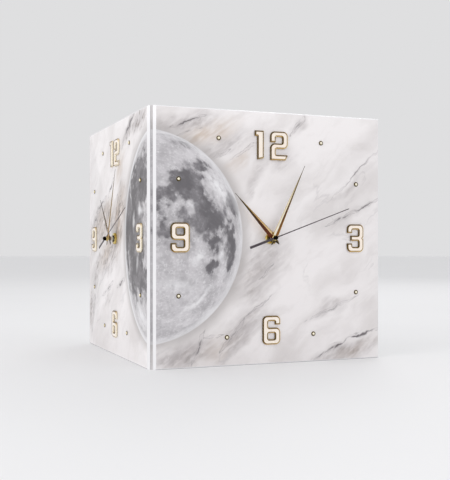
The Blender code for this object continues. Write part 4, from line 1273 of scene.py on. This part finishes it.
    # Sintered ferrite: a dull dark grey, nearly metal
    FERRITE = Finish("ferrite_sintered_grey", "#3A3A3D", "#4C4C50", 0.50, 0.2, grain=0.3)
    # The motor's coil and yoke, the circuit board and the cell: finish by place
    COIL_FRONT = Coil("coil_copper_wound_on_steel_yoke_front", Wing.FRONT)
    COIL_SIDE = Coil("coil_copper_wound_on_steel_yoke_side", Wing.SIDE)
    CIRCUIT_FRONT = Circuit("circuit_board_green_mask_front", Wing.FRONT)
    CIRCUIT_SIDE = Circuit("circuit_board_green_mask_side", Wing.SIDE)
    CELL_FRONT = Cell("battery_sleeve_printed_front", Wing.FRONT)
    CELL_SIDE = Cell("battery_sleeve_printed_side", Wing.SIDE)


@dataclass
class Workshop:
    """Materials made once and handed to every piece."""

    made: dict[Dress, bpy.types.Material] = field(default_factory=dict)

    def get(self, dress: Dress) -> bpy.types.Material:
        """Material of a finish.

        Args:
            dress: the finish.

        Returns:
            Its material, made on the first call.
        """
        if dress not in self.made:
            self.made[dress] = dress.value.material()
        return self.made[dress]


# Sub-assemblies of a wing


@dataclass
class Dial:
    """Printed face with its polished edges, and the hour dots bonded to it."""

    stand: Stand
    thickness: float = 3.0
    bevel: float = 1.2
    seam: float = 8.3
    hole: float = 4.3
    dot_ring: float = 134.0
    dot_degrees: tuple[float, ...] = (30.0, 60.0, 120.0, 240.0, 300.0, 330.0)
    low_dot: Point2 = (56.6, -116.5)
    dot_radius: float = 2.75
    dot_dome: float = 0.62 * 2.75
    dot_step: float = 0.5
    dot_rise: float = 1.8
    # Ring round the dome: share of the dot's radius, and height
    dot_foot: tuple[Point2, ...] = (
        (0.66, 0.35), (0.78, 0.62), (0.92, 0.62), (1.0, 0.4), (1.0, -0.6), (0.0, -0.6)
    )

    def ring(self, inner: float, margin: float, depth: float, steps: int = 24) -> Array:
        """Rectangle of a level: from the seam to the far edge, less a margin.

        Args:
            inner: distance of the seam side from the corner.
            margin: inset of the other three sides.
            depth: height of the level.
            steps: points on each side.

        Returns:
            Points round the rectangle.
        """
        share = np.linspace(0.0, 1.0, steps, endpoint=False)[:, None]
        right, high = FACE_SIZE - margin, DIAL_HEIGHT - margin
        at = np.array([(inner, -high), (right, -high), (right, high), (inner, high)])
        ahead = np.roll(at, -1, axis=0) - at
        s, y = (at[:, None] + ahead[:, None] * share).reshape(-1, 2).T
        return np.stack([self.stand.along(s), y, np.full(len(s), depth)], axis=-1)

    def bore(self, like: Array, depth: float) -> Array:
        """Circle of the bore.

        Args:
            like: ring whose points' directions its points take.
            depth: its height.

        Returns:
            Points round the circle.
        """
        turn = np.arctan2(like[:, 1], like[:, 0])
        x, y = self.hole * np.cos(turn), self.hole * np.sin(turn)
        return np.stack([x, y, np.full(len(turn), depth)], axis=-1)

    def face(self) -> Shell:
        """Acrylic sheet: rings from the bore over the front, the edge and the back.

        Returns:
            The sheet: print 0 and bare edge 1.
        """
        edge, slope = self.bevel, 0.3 * self.bevel
        front = self.ring(self.seam, edge, 0.0)
        rings = [
            self.bore(front, 0.0),
            front,
            self.ring(self.seam - slope, slope, -slope),
            self.ring(self.seam - edge, 0.0, -edge),
            self.ring(self.seam - self.thickness, 0.0, -self.thickness),
            self.bore(front, -self.thickness),
            self.bore(front, 0.0),
        ]
        return Shell().grid(np.stack(rings), np.repeat([0, 1], [1, 5])[:, None])

    def dots(self) -> Shell:
        """Eight turned studs: a dome, r = R sin t and z = H cos t, in a ring painted dark as shade.

        Returns:
            The studs: ring 0 in painted shade, dome 1 in painted highlight and the dome's bright
                foot 2.
        """
        turn = np.linspace(0.0, math.pi / 2.0, 9)
        rise = self.dot_step + (self.dot_rise - self.dot_step) * np.cos(turn)
        profile = list(zip(self.dot_dome * np.sin(turn), rise))
        profile += [(self.dot_radius * share, height) for share, height in self.dot_foot]
        angles = np.radians(self.dot_degrees)
        places = [(self.dot_ring * math.sin(a), self.dot_ring * math.cos(a)) for a in angles]
        places += [self.low_dot, (-self.low_dot[0], self.low_dot[1])]
        finish = np.repeat([1, 2, 0], [6, 2, 6])[:, None]
        shell = Shell()
        for x, y in places:
            shell.joined(turned(profile, 32, finish).shifted(x, y))
        return shell

    def make(self) -> None:
        """Build the face and its dots."""
        sheet = (self.stand.wing.pick(Dress.PRINT_FRONT, Dress.PRINT_SIDE), Dress.EDGE)
        self.stand.build("printed_face", self.face(), sheet, "printed_acrylic", node="face_plate")
        studs = (Dress.DOT_RING, Dress.DOME, Dress.BRASS)
        self.stand.build("hour_dots", self.dots(), studs, "gold_mirror")


@dataclass
class Numerals:
    """Numerals of gold-rimmed mirror sheet, each a rim round a slightly sunk face.

    A corner is its x, its y and its fillet radius: crisp, small inside or big outside.
    """

    stand: Stand
    width: float = 23.0
    height: float = 34.2
    stem: float = 7.0
    bar: float = 6.2
    big: float = 5.8
    small: float = 1.6
    crisp: float = 0.25
    # The one: half its width, how far its flag reaches and hangs, slant of its foot
    one_half: float = 5.7
    flag: Point2 = (3.2, 6.3)
    slant: float = 1.8
    # The two: how far its hook hangs, underside of its middle bar, slant of its toe
    two_hook: float = 13.0
    two_bar: float = -3.4
    toe: float = 3.0
    # The three: notch of its waist, and how far in its middle bar starts
    waist: float = 1.6
    short: float = 4.8
    # The three and the six: how far their hooks hang. The six: height of its loop
    hook_drop: float = 10.6
    loop: float = 20.0
    # Places: gap inside the twelve, and distances from the axis
    space: float = 8.6
    side: float = 114.5
    top: float = 110.0
    # Section: the sheet, its bevel, and the groove's width and depth
    foot: float = 0.3
    rise: float = 2.0
    bevel: float = 1.2
    drop: float = 0.9
    groove: Point2 = (0.35, 0.25)
    # The way in which the rim's bevels are painted darkest, as shade: up and to the left
    shaded_way: Point2 = (-0.86, 0.51)

    @property
    def box(self) -> Point3:
        """Half the width, half the height, and how far out the stems' inner sides are."""
        return self.width / 2.0, self.height / 2.0, self.width / 2.0 - self.stem

    def hook(self, drop: float) -> list[Point3]:
        """Corners of the top bar and the end that hangs from it on the left.

        Args:
            drop: how far the end reaches down from the top.

        Returns:
            Six corners, from the top right round to the inside right.
        """
        half, high, inner = self.box
        return [
            (half, high, self.big),
            (-half, high, self.big),
            (-half, high - drop, self.crisp),
            (-inner, high - drop, self.crisp),
            (-inner, high - self.bar, self.small),
            (inner, high - self.bar, self.small),
        ]

    def one(self) -> list[Array]:
        """Stem with a flag at the upper left and a slanted foot.

        Returns:
            Its outline.
        """
        half, high = self.one_half, self.height / 2.0
        left, under = self.flag[0] - half, high - self.flag[1]
        at = [(left, -high), (half, self.slant - high), (half, high)]
        at += [(-half, high), (-half, under), (left, under)]
        return [rounded([(x, y, self.crisp) for x, y in at])]

    def two(self) -> list[Array]:
        """Hook, right side, middle bar, left side and a foot with a raised toe.

        Returns:
            Its outline.
        """
        half, high, inner = self.box
        bar, low = self.bar, self.two_bar
        base = [
            (-half, -high, self.crisp),
            (half - self.toe, -high, self.crisp),
            (half, bar - high, self.crisp),
            (-inner, bar - high, self.small),
            (-inner, low, self.small),
            (half, low, self.big),
        ]
        back = [(inner, bar + low, self.small), (-half, bar + low, self.big)]
        return [rounded(base + self.hook(self.two_hook) + back)]

    def three(self) -> list[Array]:
        """Two hooks on one right side, with a short middle bar and a waist.

        Returns:
            Its outline.
        """
        half, _, inner = self.box
        waist = [(half - self.waist, 0.0, self.crisp), (half, self.waist, self.crisp)]
        over_bar = self.bar / 2.0
        bar = [(inner, over_bar, self.small), (self.short - half, over_bar, self.crisp)]
        upper = waist + self.hook(self.hook_drop) + bar
        lower = [(x, -y, radius) for x, y, radius in reversed(upper[1:])]
        return [rounded(upper + lower)]

    def six(self) -> list[Array]:
        """Tall left side with a hook above and a closed loop below.

        Returns:
            Its outline and its eye's.
        """
        half, high, inner = self.box
        loop, bar, big, small = self.loop - high, self.bar, self.big, self.small
        base = [(-half, -high, big), (half, -high, big), (half, loop, big), (-inner, loop, small)]
        hook = [(-x, y, radius) for x, y, radius in reversed(self.hook(self.hook_drop))]
        eye = [(-inner, bar - high), (-inner, loop - bar), (inner, loop - bar), (inner, bar - high)]
        return [rounded(base + hook), rounded([(x, y, small) for x, y in eye])]

    def nine(self) -> list[Array]:
        """Six turned upside down."""
        return [-outline for outline in self.six()]

    def shell(self, outlines: list[Array]) -> Shell:
        """Numeral: a wall, a wide bevel, a groove and a flat face a little lower.

        Args:
            outlines: outer outline turning left, then any eye turning right.

        Returns:
            The closed shell: rim 0, face 1 and groove 2. Its shade, for the rim's painted
            light and shade, is how far a bevel faces the shaded way, which is up and to the left.
        """
        top = self.foot + self.rise
        profile = [(0.0, self.foot), (0.0, top - self.drop), (self.bevel, top)]
        profile += [(self.bevel + self.groove[0], top - self.groove[1])]
        shell = Shell()
        walls = [raised(outline, profile) for outline in outlines]
        # How far each point of an outline faces the shaded way, for the rim's painted light and
        # shade
        leans = [facing(outline, self.shaded_way) for outline in outlines]
        for wall, lean in zip(walls, leans):
            shell.grid(wall[:3], 0, lean[None, :]).grid(wall[2:], 2, lean[None, :])
        shell.fill([wall[-1] for wall in walls], 1, np.concatenate(leans))
        return shell.fill([wall[0] for wall in walls], 0, np.concatenate(leans))

    def make(self) -> None:
        """Build the five numerals at their places."""
        twelve = (2.0 * self.one_half + self.space + self.width) / 2.0
        rim = self.stand.wing.pick(Dress.RIM, Dress.RIM_SIDE)
        dresses = (rim, Dress.CREAM, Dress.GROOVE)
        for name, node, outlines, x, y in (
            ("gold_one", "numeral_12_one", self.one(), self.one_half - twelve, self.top),
            ("gold_two", "numeral_12_two", self.two(), twelve - self.width / 2.0, self.top),
            ("gold_three", "numeral_3", self.three(), self.side, 0.0),
            ("gold_six", "numeral_6", self.six(), 0.0, -self.top),
            ("gold_nine", "numeral_9", self.nine(), -self.side, 0.0),
        ):
            shell = self.shell(outlines).shifted(x, y)
            self.stand.build(name, shell, dresses, "gold_mirror", node=node)


@dataclass
class Lance:
    """Faceted hand: a lance whose two flanks rise to a ridge, on a collar."""

    stand: Stand
    name: str
    node: str
    body: str
    pointing: float
    length: float
    tail: float
    width: float
    level: float
    tube: float
    crest: float
    dresses: tuple[Dress, Dress, Dress]
    shoulder: float = 5.5
    edge: float = 0.3
    rib: float = 0.42
    ridge: float = 0.7
    hem: float = 0.13
    tip: float = 0.07
    tail_curve: float = 0.6
    # Painted shade of the tail: its shade at the axis, and how much it darkens to the tail's end
    tail_shade: Point2 = (0.75, 0.25)
    # Collar: its play on the tube, its wall, how far it reaches under the blade
    play: float = 0.05
    wall: float = 0.9
    depth: float = 0.8
    bevel: float = 0.15

    def blade(self) -> Shell:
        """Section carried along the hand, its width falling evenly from the shoulder.

        Across, a point's share of the half width sets its height: the hem at the edge
        level, the ridge in the middle at the ridge's level at the shoulder.

        Returns:
            The blade as a closed shell: right flank 0, left flank 1 and hems 2.
        """
        behind = np.linspace(-self.tail, self.shoulder, 9)
        ahead = np.linspace(self.shoulder, self.length, 41)[1:]
        along = np.concatenate([behind, ahead])
        waxing = ((along + self.tail) / (self.shoulder + self.tail)) ** self.tail_curve
        waning = (self.length - along) / (self.length - self.shoulder)
        taper = np.clip(np.minimum(waxing, waning), self.tip, 1.0)[:, None]
        across = np.array([-1, self.hem - 1, self.crest, 1 - self.hem, 1, 1, -1], float)
        height = np.array([self.edge, self.rib, self.ridge, self.rib, self.edge, 0.0, 0.0])
        z = np.minimum(height, self.edge) + np.maximum(height - self.edge, 0.0) * taper
        x = 0.5 * self.width * taper * across
        grid = np.stack([x, np.broadcast_to(along[:, None], x.shape), self.level + z], axis=-1)
        start, fall = self.tail_shade
        # Shade along the hand for its painted light and shade: darker towards the point and towards
        # the end of the tail
        reach = np.where(along < 0.0, start - fall * along / self.tail, along / self.length)
        shell = Shell().grid(grid, np.array([[2, 0, 1, 2, 2, 1, 2]]), reach[:, None])
        return shell.fill([grid[0]], 1, reach[0]).fill([grid[-1]], 1, reach[-1])

    def collar(self) -> Shell:
        """Ring under the blade that grips the tube.

        Returns:
            The ring, in the hem's finish.
        """
        inside, outside = self.tube + self.play, self.tube + self.wall
        low, high = self.level - self.depth, self.level + self.edge / 2.0
        ring = [(outside, high), (outside, low + self.bevel), (outside - self.bevel, low)]
        return turned([*ring, (inside, low), (inside, high), (outside, high)], finish=2)

    def make(self) -> None:
        """Build the hand, turned to where it points."""
        shell = self.blade().joined(self.collar()).spun(self.pointing)
        hand = (self.name, shell, self.dresses, "gold_mirror")
        self.stand.build(*hand, body=self.body, node=self.node, sharp=8.0)


@dataclass
class SecondHand:
    """Needle with a bar for a tail, and the domed cap that holds it."""

    stand: Stand
    pointing: float = 70.0
    level: float = 13.4
    # Distance along the hand and half its width there
    outline: tuple[Point2, ...] = (
        (-35.0, 1.3), (-34.7, 1.5), (-4.0, 1.5), (-2.2, 0.9), (0.0, 0.68),
        (30.0, 0.62), (60.0, 0.56), (90.0, 0.5), (104.7, 0.45), (105.0, 0.25),
    )
    # Share of that half width and height: a crown over a flat back
    section: tuple[Point2, ...] = (
        (-1.0, 0.25), (-0.6, 0.36), (0.0, 0.4), (0.6, 0.36), (1.0, 0.25), (1.0, 0.0), (-1.0, 0.0)
    )
    cap_radius: float = 2.6
    cap_foot: float = 12.4
    cap_top: float = 16.6
    dome: float = 1.8
    bevel: float = 0.1
    # Radius of the hole for the arbor, and thickness of the roof over it
    socket: Point2 = (0.8, 1.2)

    def needle(self) -> Shell:
        """Crowned strip: the section, as wide at each place as the outline says.

        Returns:
            The needle with its tail, pointing up.
        """
        along, half = np.array(self.outline).T
        across, height = np.array(self.section).T
        x = half[:, None] * across
        y, z = np.broadcast_arrays(along[:, None], self.level + height)
        grid = np.stack([x, y, z], axis=-1)
        return Shell().grid(grid).fill([grid[0]]).fill([grid[-1]])

    def cap(self) -> Shell:
        """Turned cap: a skirt, then a dome of radius sine and height cosine.

        Returns:
            The cap, hollow where the arbor enters it.
        """
        turn = np.linspace(0.0, math.pi / 2.0, 12)
        radius, foot = self.cap_radius, self.cap_foot
        crown = self.cap_top - self.dome + self.dome * np.cos(turn)
        hollow, roof = self.socket[0], self.cap_top - self.socket[1]
        skirt = [(radius, foot + self.bevel), (radius - self.bevel, foot)]
        inside = [(hollow, foot), (hollow, roof), (0.0, roof)]
        return turned([*zip(radius * np.sin(turn), crown), *skirt, *inside])

    def make(self) -> None:
        """Build the needle and its cap."""
        for name, shell, dress in (
            ("needle", self.needle().spun(self.pointing), Dress.NEEDLE),
            ("needle_cap", self.cap(), Dress.CAP),
        ):
            self.stand.build(name, shell, (dress,), "dark_hand", "second", "second_hand")


@dataclass
class Nut:
    """Hexagon nut of the shaft, and the small round nut of the minute hand."""

    stand: Stand
    corner: float = 8.0
    bore: float = 4.3
    low: float = 0.3
    high: float = 2.8
    chamfer: float = 0.4
    cone: float = 0.15
    slope: float = 30.0
    # The degree that the flat painted brightest on each wing's nut faces, as painted light
    bright: Point2 = (150.0, 20.0)
    # Radius and height round the small nut's section
    small: tuple[Point2, ...] = (
        (1.75, 10.95), (3.1, 10.95), (3.25, 11.1), (3.25, 11.9), (3.0, 12.2), (1.75, 12.2),
        (1.75, 10.95),
    )

    def hexagon(self, steps: int = 96) -> Shell:
        """Six flats, their corners turned down to a cone.

        The hexagon's radius at a turn is the flats' distance over the cosine of the
        turn from the nearest flat. The cone meets the flats lower where they are further
        out, by its slope.

        Args:
            steps: facets round.

        Returns:
            The nut, whose shade, for its painted light, is how far a flat faces the way painted
            brightest.
        """
        turn = np.linspace(0.0, math.tau, steps, endpoint=False)
        sixth = math.pi / 3.0
        flat = self.corner * math.cos(sixth / 2.0)
        out = flat / np.cos(np.mod(turn, sixth) - sixth / 2.0)
        cone = flat - self.cone
        fall = self.high - (out - cone) * math.tan(math.radians(self.slope))
        rings = (
            (out, self.low),
            (out, fall),
            (cone, self.high),
            (self.bore + self.chamfer, self.high),
            (self.bore, self.high - self.chamfer),
            (self.bore, self.low),
            (out, self.low),
        )
        levels = [np.broadcast_arrays(radius, height, turn) for radius, height in rings]
        grid = np.array([(r * np.cos(t), r * np.sin(t), z) for r, z, t in levels])
        # Painted light: each flat lighter the nearer it faces the bright way
        middle = np.floor(turn / sixth) * sixth + sixth / 2.0
        bright = math.radians(self.stand.wing.pick(*self.bright))
        lean = 0.5 + 0.5 * np.cos(middle - bright)
        return Shell().grid(np.moveaxis(grid, 1, -1), shade=lean[None, :])

    def make(self) -> None:
        """Build both nuts."""
        hexagon, small = self.hexagon(), turned([*self.small])
        self.stand.build("brass_nut", hexagon, (Dress.NUT,), "brass", node="shaft_nut")
        self.stand.build("minute_nut", small, (Dress.BRASS,), "brass", "minute")


@dataclass
class Rear:
    """Screws of the rear board and the sprung contacts of the battery bay."""

    stand: Stand
    board_back: float = -40.0
    # Screws: distances of two rows from the corner, inset of the last from the edges,
    # radius and height of a head, how deep it sits, half its cross's width and length
    rows: Point2 = (50.0, 175.0)
    inset: float = 4.5
    head: float = 2.6
    proud: float = 0.45
    under: float = 0.3
    cross: Point2 = (0.34, 1.45)
    cross_floor: float = 0.04
    # Contacts: axis of the cell and half the length of its bay
    cell: Point2 = (-27.3, -16.6)
    bay_half: float = 26.8
    # Flat contacts: half their side, their sheet and its play in the bay
    plate: float = 5.0
    sheet: float = 0.3
    play: float = 0.05
    # Spring: its turns, half its wire, first radius and growth, first gap and fall
    turns: float = 2.4
    wire: float = 0.17
    widening: Point2 = (2.0, 2.4)
    falling: Point2 = (1.25, 0.85)

    def screw(self, steps: int = 64) -> Shell:
        """Pan head towards the wall, with a cross sunk in it.

        Its height is the root of one less the 2.5th power of the radius, of one each.
        The cross is where the lesser of a point's two coordinates is under the slot's
        half width and the greater under its half length.

        Args:
            steps: points round the head.

        Returns:
            The head, its underside at zero.
        """
        radius = np.linspace(0.0, self.head, 14)
        x, y, _ = np.moveaxis(circle(radius, steps), -1, 0)
        dome = self.proud * np.sqrt(np.clip(1.0 - (radius / self.head) ** 2.5, 0.0, 1.0))
        lesser, greater = np.minimum(abs(x), abs(y)), np.maximum(abs(x), abs(y))
        sunk = (lesser < self.cross[0]) & (greater < self.cross[1])
        grid = np.stack([x, y, -np.where(sunk, self.cross_floor, dome[:, None])], axis=-1)
        base = circle(self.head, steps, self.under)[None]
        return Shell().grid(np.concatenate([grid, base])).fill([base[0]])

    def screws(self) -> Shell:
        """Seven screws round the rear board: two a row and one in the far edge's middle.

        Returns:
            All of them.
        """
        far, high = FACE_SIZE - self.inset, DIAL_HEIGHT - self.inset
        places = [(s, y) for s in (*self.rows, far) for y in (-high, high)]
        shell = Shell()
        for s, y in [*places, (far, 0.0)]:
            shell.joined(self.screw().shifted(float(self.stand.along(s)), y, self.board_back))
        return shell

    def contacts(self) -> Shell:
        """Flat contact at one end of the bay and a cone of spring wire at the other.

        The spring's radius grows and its x falls evenly with the turn.

        Returns:
            The spring and both flat contacts.
        """
        y, z = self.cell
        turn = np.linspace(0.0, self.turns * math.tau, 90)
        share = turn / turn[-1]
        reach = self.widening[0] + self.widening[1] * share
        x = -self.bay_half + self.falling[0] - self.falling[1] * share
        coil = np.stack([x, y + reach * np.cos(turn), z + reach * np.sin(turn)], axis=-1)
        shell = Shell().tube(coil, self.wire)
        half = self.plate
        outline = rounded([(-half, -half, 1), (half, -half, 1), (half, half, 1), (-half, half, 1)])
        for x in (-self.bay_half + self.play, self.bay_half - self.sheet - self.play):
            ends = np.empty((2, len(outline), 3))
            ends[..., 0] = [[x], [x + self.sheet]]
            ends[..., 1:] = np.array([y, z]) + outline
            shell.grid(ends).fill([ends[0]]).fill([ends[1]])
        return shell

    def make(self) -> None:
        """Build what the rear shows."""
        zinc = ((Dress.ZINC,), "zinc_steel")
        self.stand.build("board_screws", self.screws(), *zinc, sharp=25.0)
        self.stand.build("battery_contacts", self.contacts(), *zinc)


@dataclass
class Carried:
    """Solids that keep their CAD shape and get their real finish."""

    shop: Workshop
    # Finish on the front wing and on the side wing, and the solids that wear it
    finishes: tuple[tuple[Dress, Dress, tuple[str, ...]], ...] = (
        (Dress.BOARD, Dress.BOARD, ("backing_panel", "back_panel")),
        (Dress.LACQUER, Dress.LACQUER, ("frame",)),
        (Dress.ZINC, Dress.ZINC, ("hanger_plate",)),
        (Dress.RUBBER, Dress.RUBBER, ("washer",)),
        (Dress.CASE, Dress.CASE, ("movement_case", "movement_cover")),
        (Dress.COIL_FRONT, Dress.COIL_SIDE, ("stator_coil",)),
        (Dress.CIRCUIT_FRONT, Dress.CIRCUIT_SIDE, ("circuit_board",)),
        (Dress.CELL_FRONT, Dress.CELL_SIDE, ("battery",)),
        (Dress.FERRITE, Dress.FERRITE, ("rotor",)),
        (Dress.BRASS, Dress.BRASS, ("cannon_pinion",)),
        (Dress.GEAR, Dress.GEAR, ("fifth_wheel", "second_wheel", "third_wheel")),
        (Dress.GEAR, Dress.GEAR, ("centre_wheel", "transfer_wheel", "hour_wheel", "set_knob")),
    )

    def dress(self, nodes: dict[str, bpy.types.Object]) -> None:
        """Give every carried solid its material.

        Args:
            nodes: the frame's objects by node name.
        """
        dressed = {"corner_post": Dress.PRINT_SEAM}
        for front, side, names in self.finishes:
            for name in names:
                dressed |= {f"{name}_front": front, f"{name}_side": side}
        for name, dress in dressed.items():
            materials = nodes[name].data.materials
            materials.clear()
            materials.append(self.shop.get(dress))


@dataclass
class Studio:
    """Pale floor and backdrop, soft lamps, and the camera of the photograph."""

    focal_px: float = 865.413
    image: tuple[int, int] = (450, 480)
    centre_px: Point2 = (239.242, 247.009)
    heading: float = 0.393
    eye: Point3 = (-421.2, -1081.2, 139.1)
    sensor: float = 36.0
    # In metres: radius and points of the floor, middle of the clock, and for each soft
    # box its name, its place, the side of its square and its watts
    floor_size: tuple[float, int] = (12.0, 96)
    aim: Point3 = (-0.03, -0.03, 0.15)
    lamps: tuple[tuple[str, Point3, float, float], ...] = (
        ("key_soft_box", (0.9, -1.7, 1.8), 1.2, 6.0),
        ("fill_soft_box", (-1.9, -0.5, 1.2), 1.4, 13.0),
        ("rear_soft_box", (1.2, 1.4, 1.6), 1.2, 6.0),
    )

    def put(self, name: str, data: Any) -> Any:
        """Put an object into the scene.

        Args:
            name: its name.
            data: its mesh, camera or lamp.

        Returns:
            The object.
        """
        obj = bpy.data.objects.new(name, data)
        bpy.context.scene.collection.objects.link(obj)
        return obj

    def camera(self) -> None:
        """Camera at the photograph's place, level, with its small shift."""
        width, height = self.image
        data = bpy.data.cameras.new("camera")
        data.sensor_width = self.sensor
        data.lens = self.focal_px * self.sensor / height
        data.shift_x = -(self.centre_px[0] - width / 2.0) / height
        data.shift_y = (self.centre_px[1] - height / 2.0) / height
        data.clip_start, data.clip_end = 0.01, 100.0
        camera = self.put("camera", data)
        camera.location = [value * MILLIMETRE for value in self.eye]
        camera.rotation_euler = (math.pi / 2.0, 0.0, -self.heading)
        bpy.context.scene.camera = camera

    def light(self) -> None:
        """Square soft boxes, turned to the middle of the clock."""
        for name, at, size, power in self.lamps:
            data = bpy.data.lights.new(name, "AREA")
            data.size, data.energy = size, power
            lamp = self.put(name, data)
            lamp.location = at
            aim = Vector(self.aim) - lamp.location
            lamp.rotation_euler = aim.to_track_quat("-Z", "Y").to_euler()

    def floor(self) -> None:
        """Round pale floor under the clock, of a matt board with a faint cloud in it."""
        radius, steps = self.floor_size
        mesh = bpy.data.meshes.new("floor")
        mesh.from_pydata(circle(radius, steps).tolist(), [], [list(range(steps))])
        material, tree, shader = blank("studio_floor_pale_matt")
        here = add(tree, "TexCoord").node.outputs["Object"]
        cloud = add(tree, "TexNoise", {"Vector": here, "Scale": 3.0, "Detail": 2.0})
        feed(shader, {"Base Color": over(tree, "#E9E9EA", "#E6E6E7", cloud), "Roughness": 0.6})
        mesh.materials.append(material)
        self.put("floor", mesh)

    def world(self) -> None:
        """Soft even light, and a pale room for the camera, gloss and glass to see."""
        world = bpy.data.worlds.new("studio")
        world.use_nodes = True
        bpy.context.scene.world = world
        tree = world.node_tree
        rays = add(tree, "LightPath").node.outputs
        seen: Any = 0.0
        for ray in ("Is Camera Ray", "Is Glossy Ray", "Is Transmission Ray"):
            seen = add(tree, "Math", seen, rays[ray], operation="MAXIMUM")
        feed(tree.nodes["Background"], {"Color": over(tree, "#EDEDEE", "#DFDFE0", seen)})

    def make(self) -> None:
        """Set the studio up."""
        self.camera()
        self.floor()
        self.world()
        self.light()
        bpy.context.scene.view_settings.view_transform = "Standard"


def corners(bounds: tuple[Vector, Vector]) -> list[list[float]]:
    """Lowest and highest corner as plain lists."""
    return [list(map(float, corner)) for corner in bounds]


def main() -> None:
    """Build the studio, dress the carried solids and make every finer piece."""
    logging.basicConfig(level=logging.INFO, format="%(name)s: %(message)s")
    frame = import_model()
    Studio().make()
    LOG.info("studio set up")
    shop = Workshop()
    Carried(shop).dress(frame["nodes"])
    LOG.info("carried solids dressed")
    for wing in Wing:
        stand = Stand(wing, shop)
        Dial(stand).make()
        Numerals(stand).make()
        Nut(stand).make()
        Lance(
            stand,
            name="lance_hour",
            node="hour_hand",
            body="hour",
            pointing=316.4,
            length=71.5,
            tail=10.4,
            width=7.4,
            level=7.8,
            tube=2.5,
            crest=0.22,
            dresses=(
                Dress.HOUR_DARK,
                wing.pick(Dress.HOUR_GOLD, Dress.HOUR_OLIVE),
                Dress.HOUR_DARK,
            ),
        ).make()
        Lance(
            stand,
            name="lance_minute",
            node="minute_hand",
            body="minute",
            pointing=24.8,
            length=95.0,
            tail=9.5,
            width=6.6,
            level=10.3,
            tube=1.6,
            crest=-0.12,
            dresses=(Dress.MINUTE_CREAM, Dress.MINUTE_BROWN, Dress.MINUTE_HEM),
        ).make()
        SecondHand(stand).make()
        Rear(stand).make()
        LOG.info("%s wing: dial, numerals, nuts, hands, screws and contacts", wing.value)


if __name__ == "__main__":
    main()
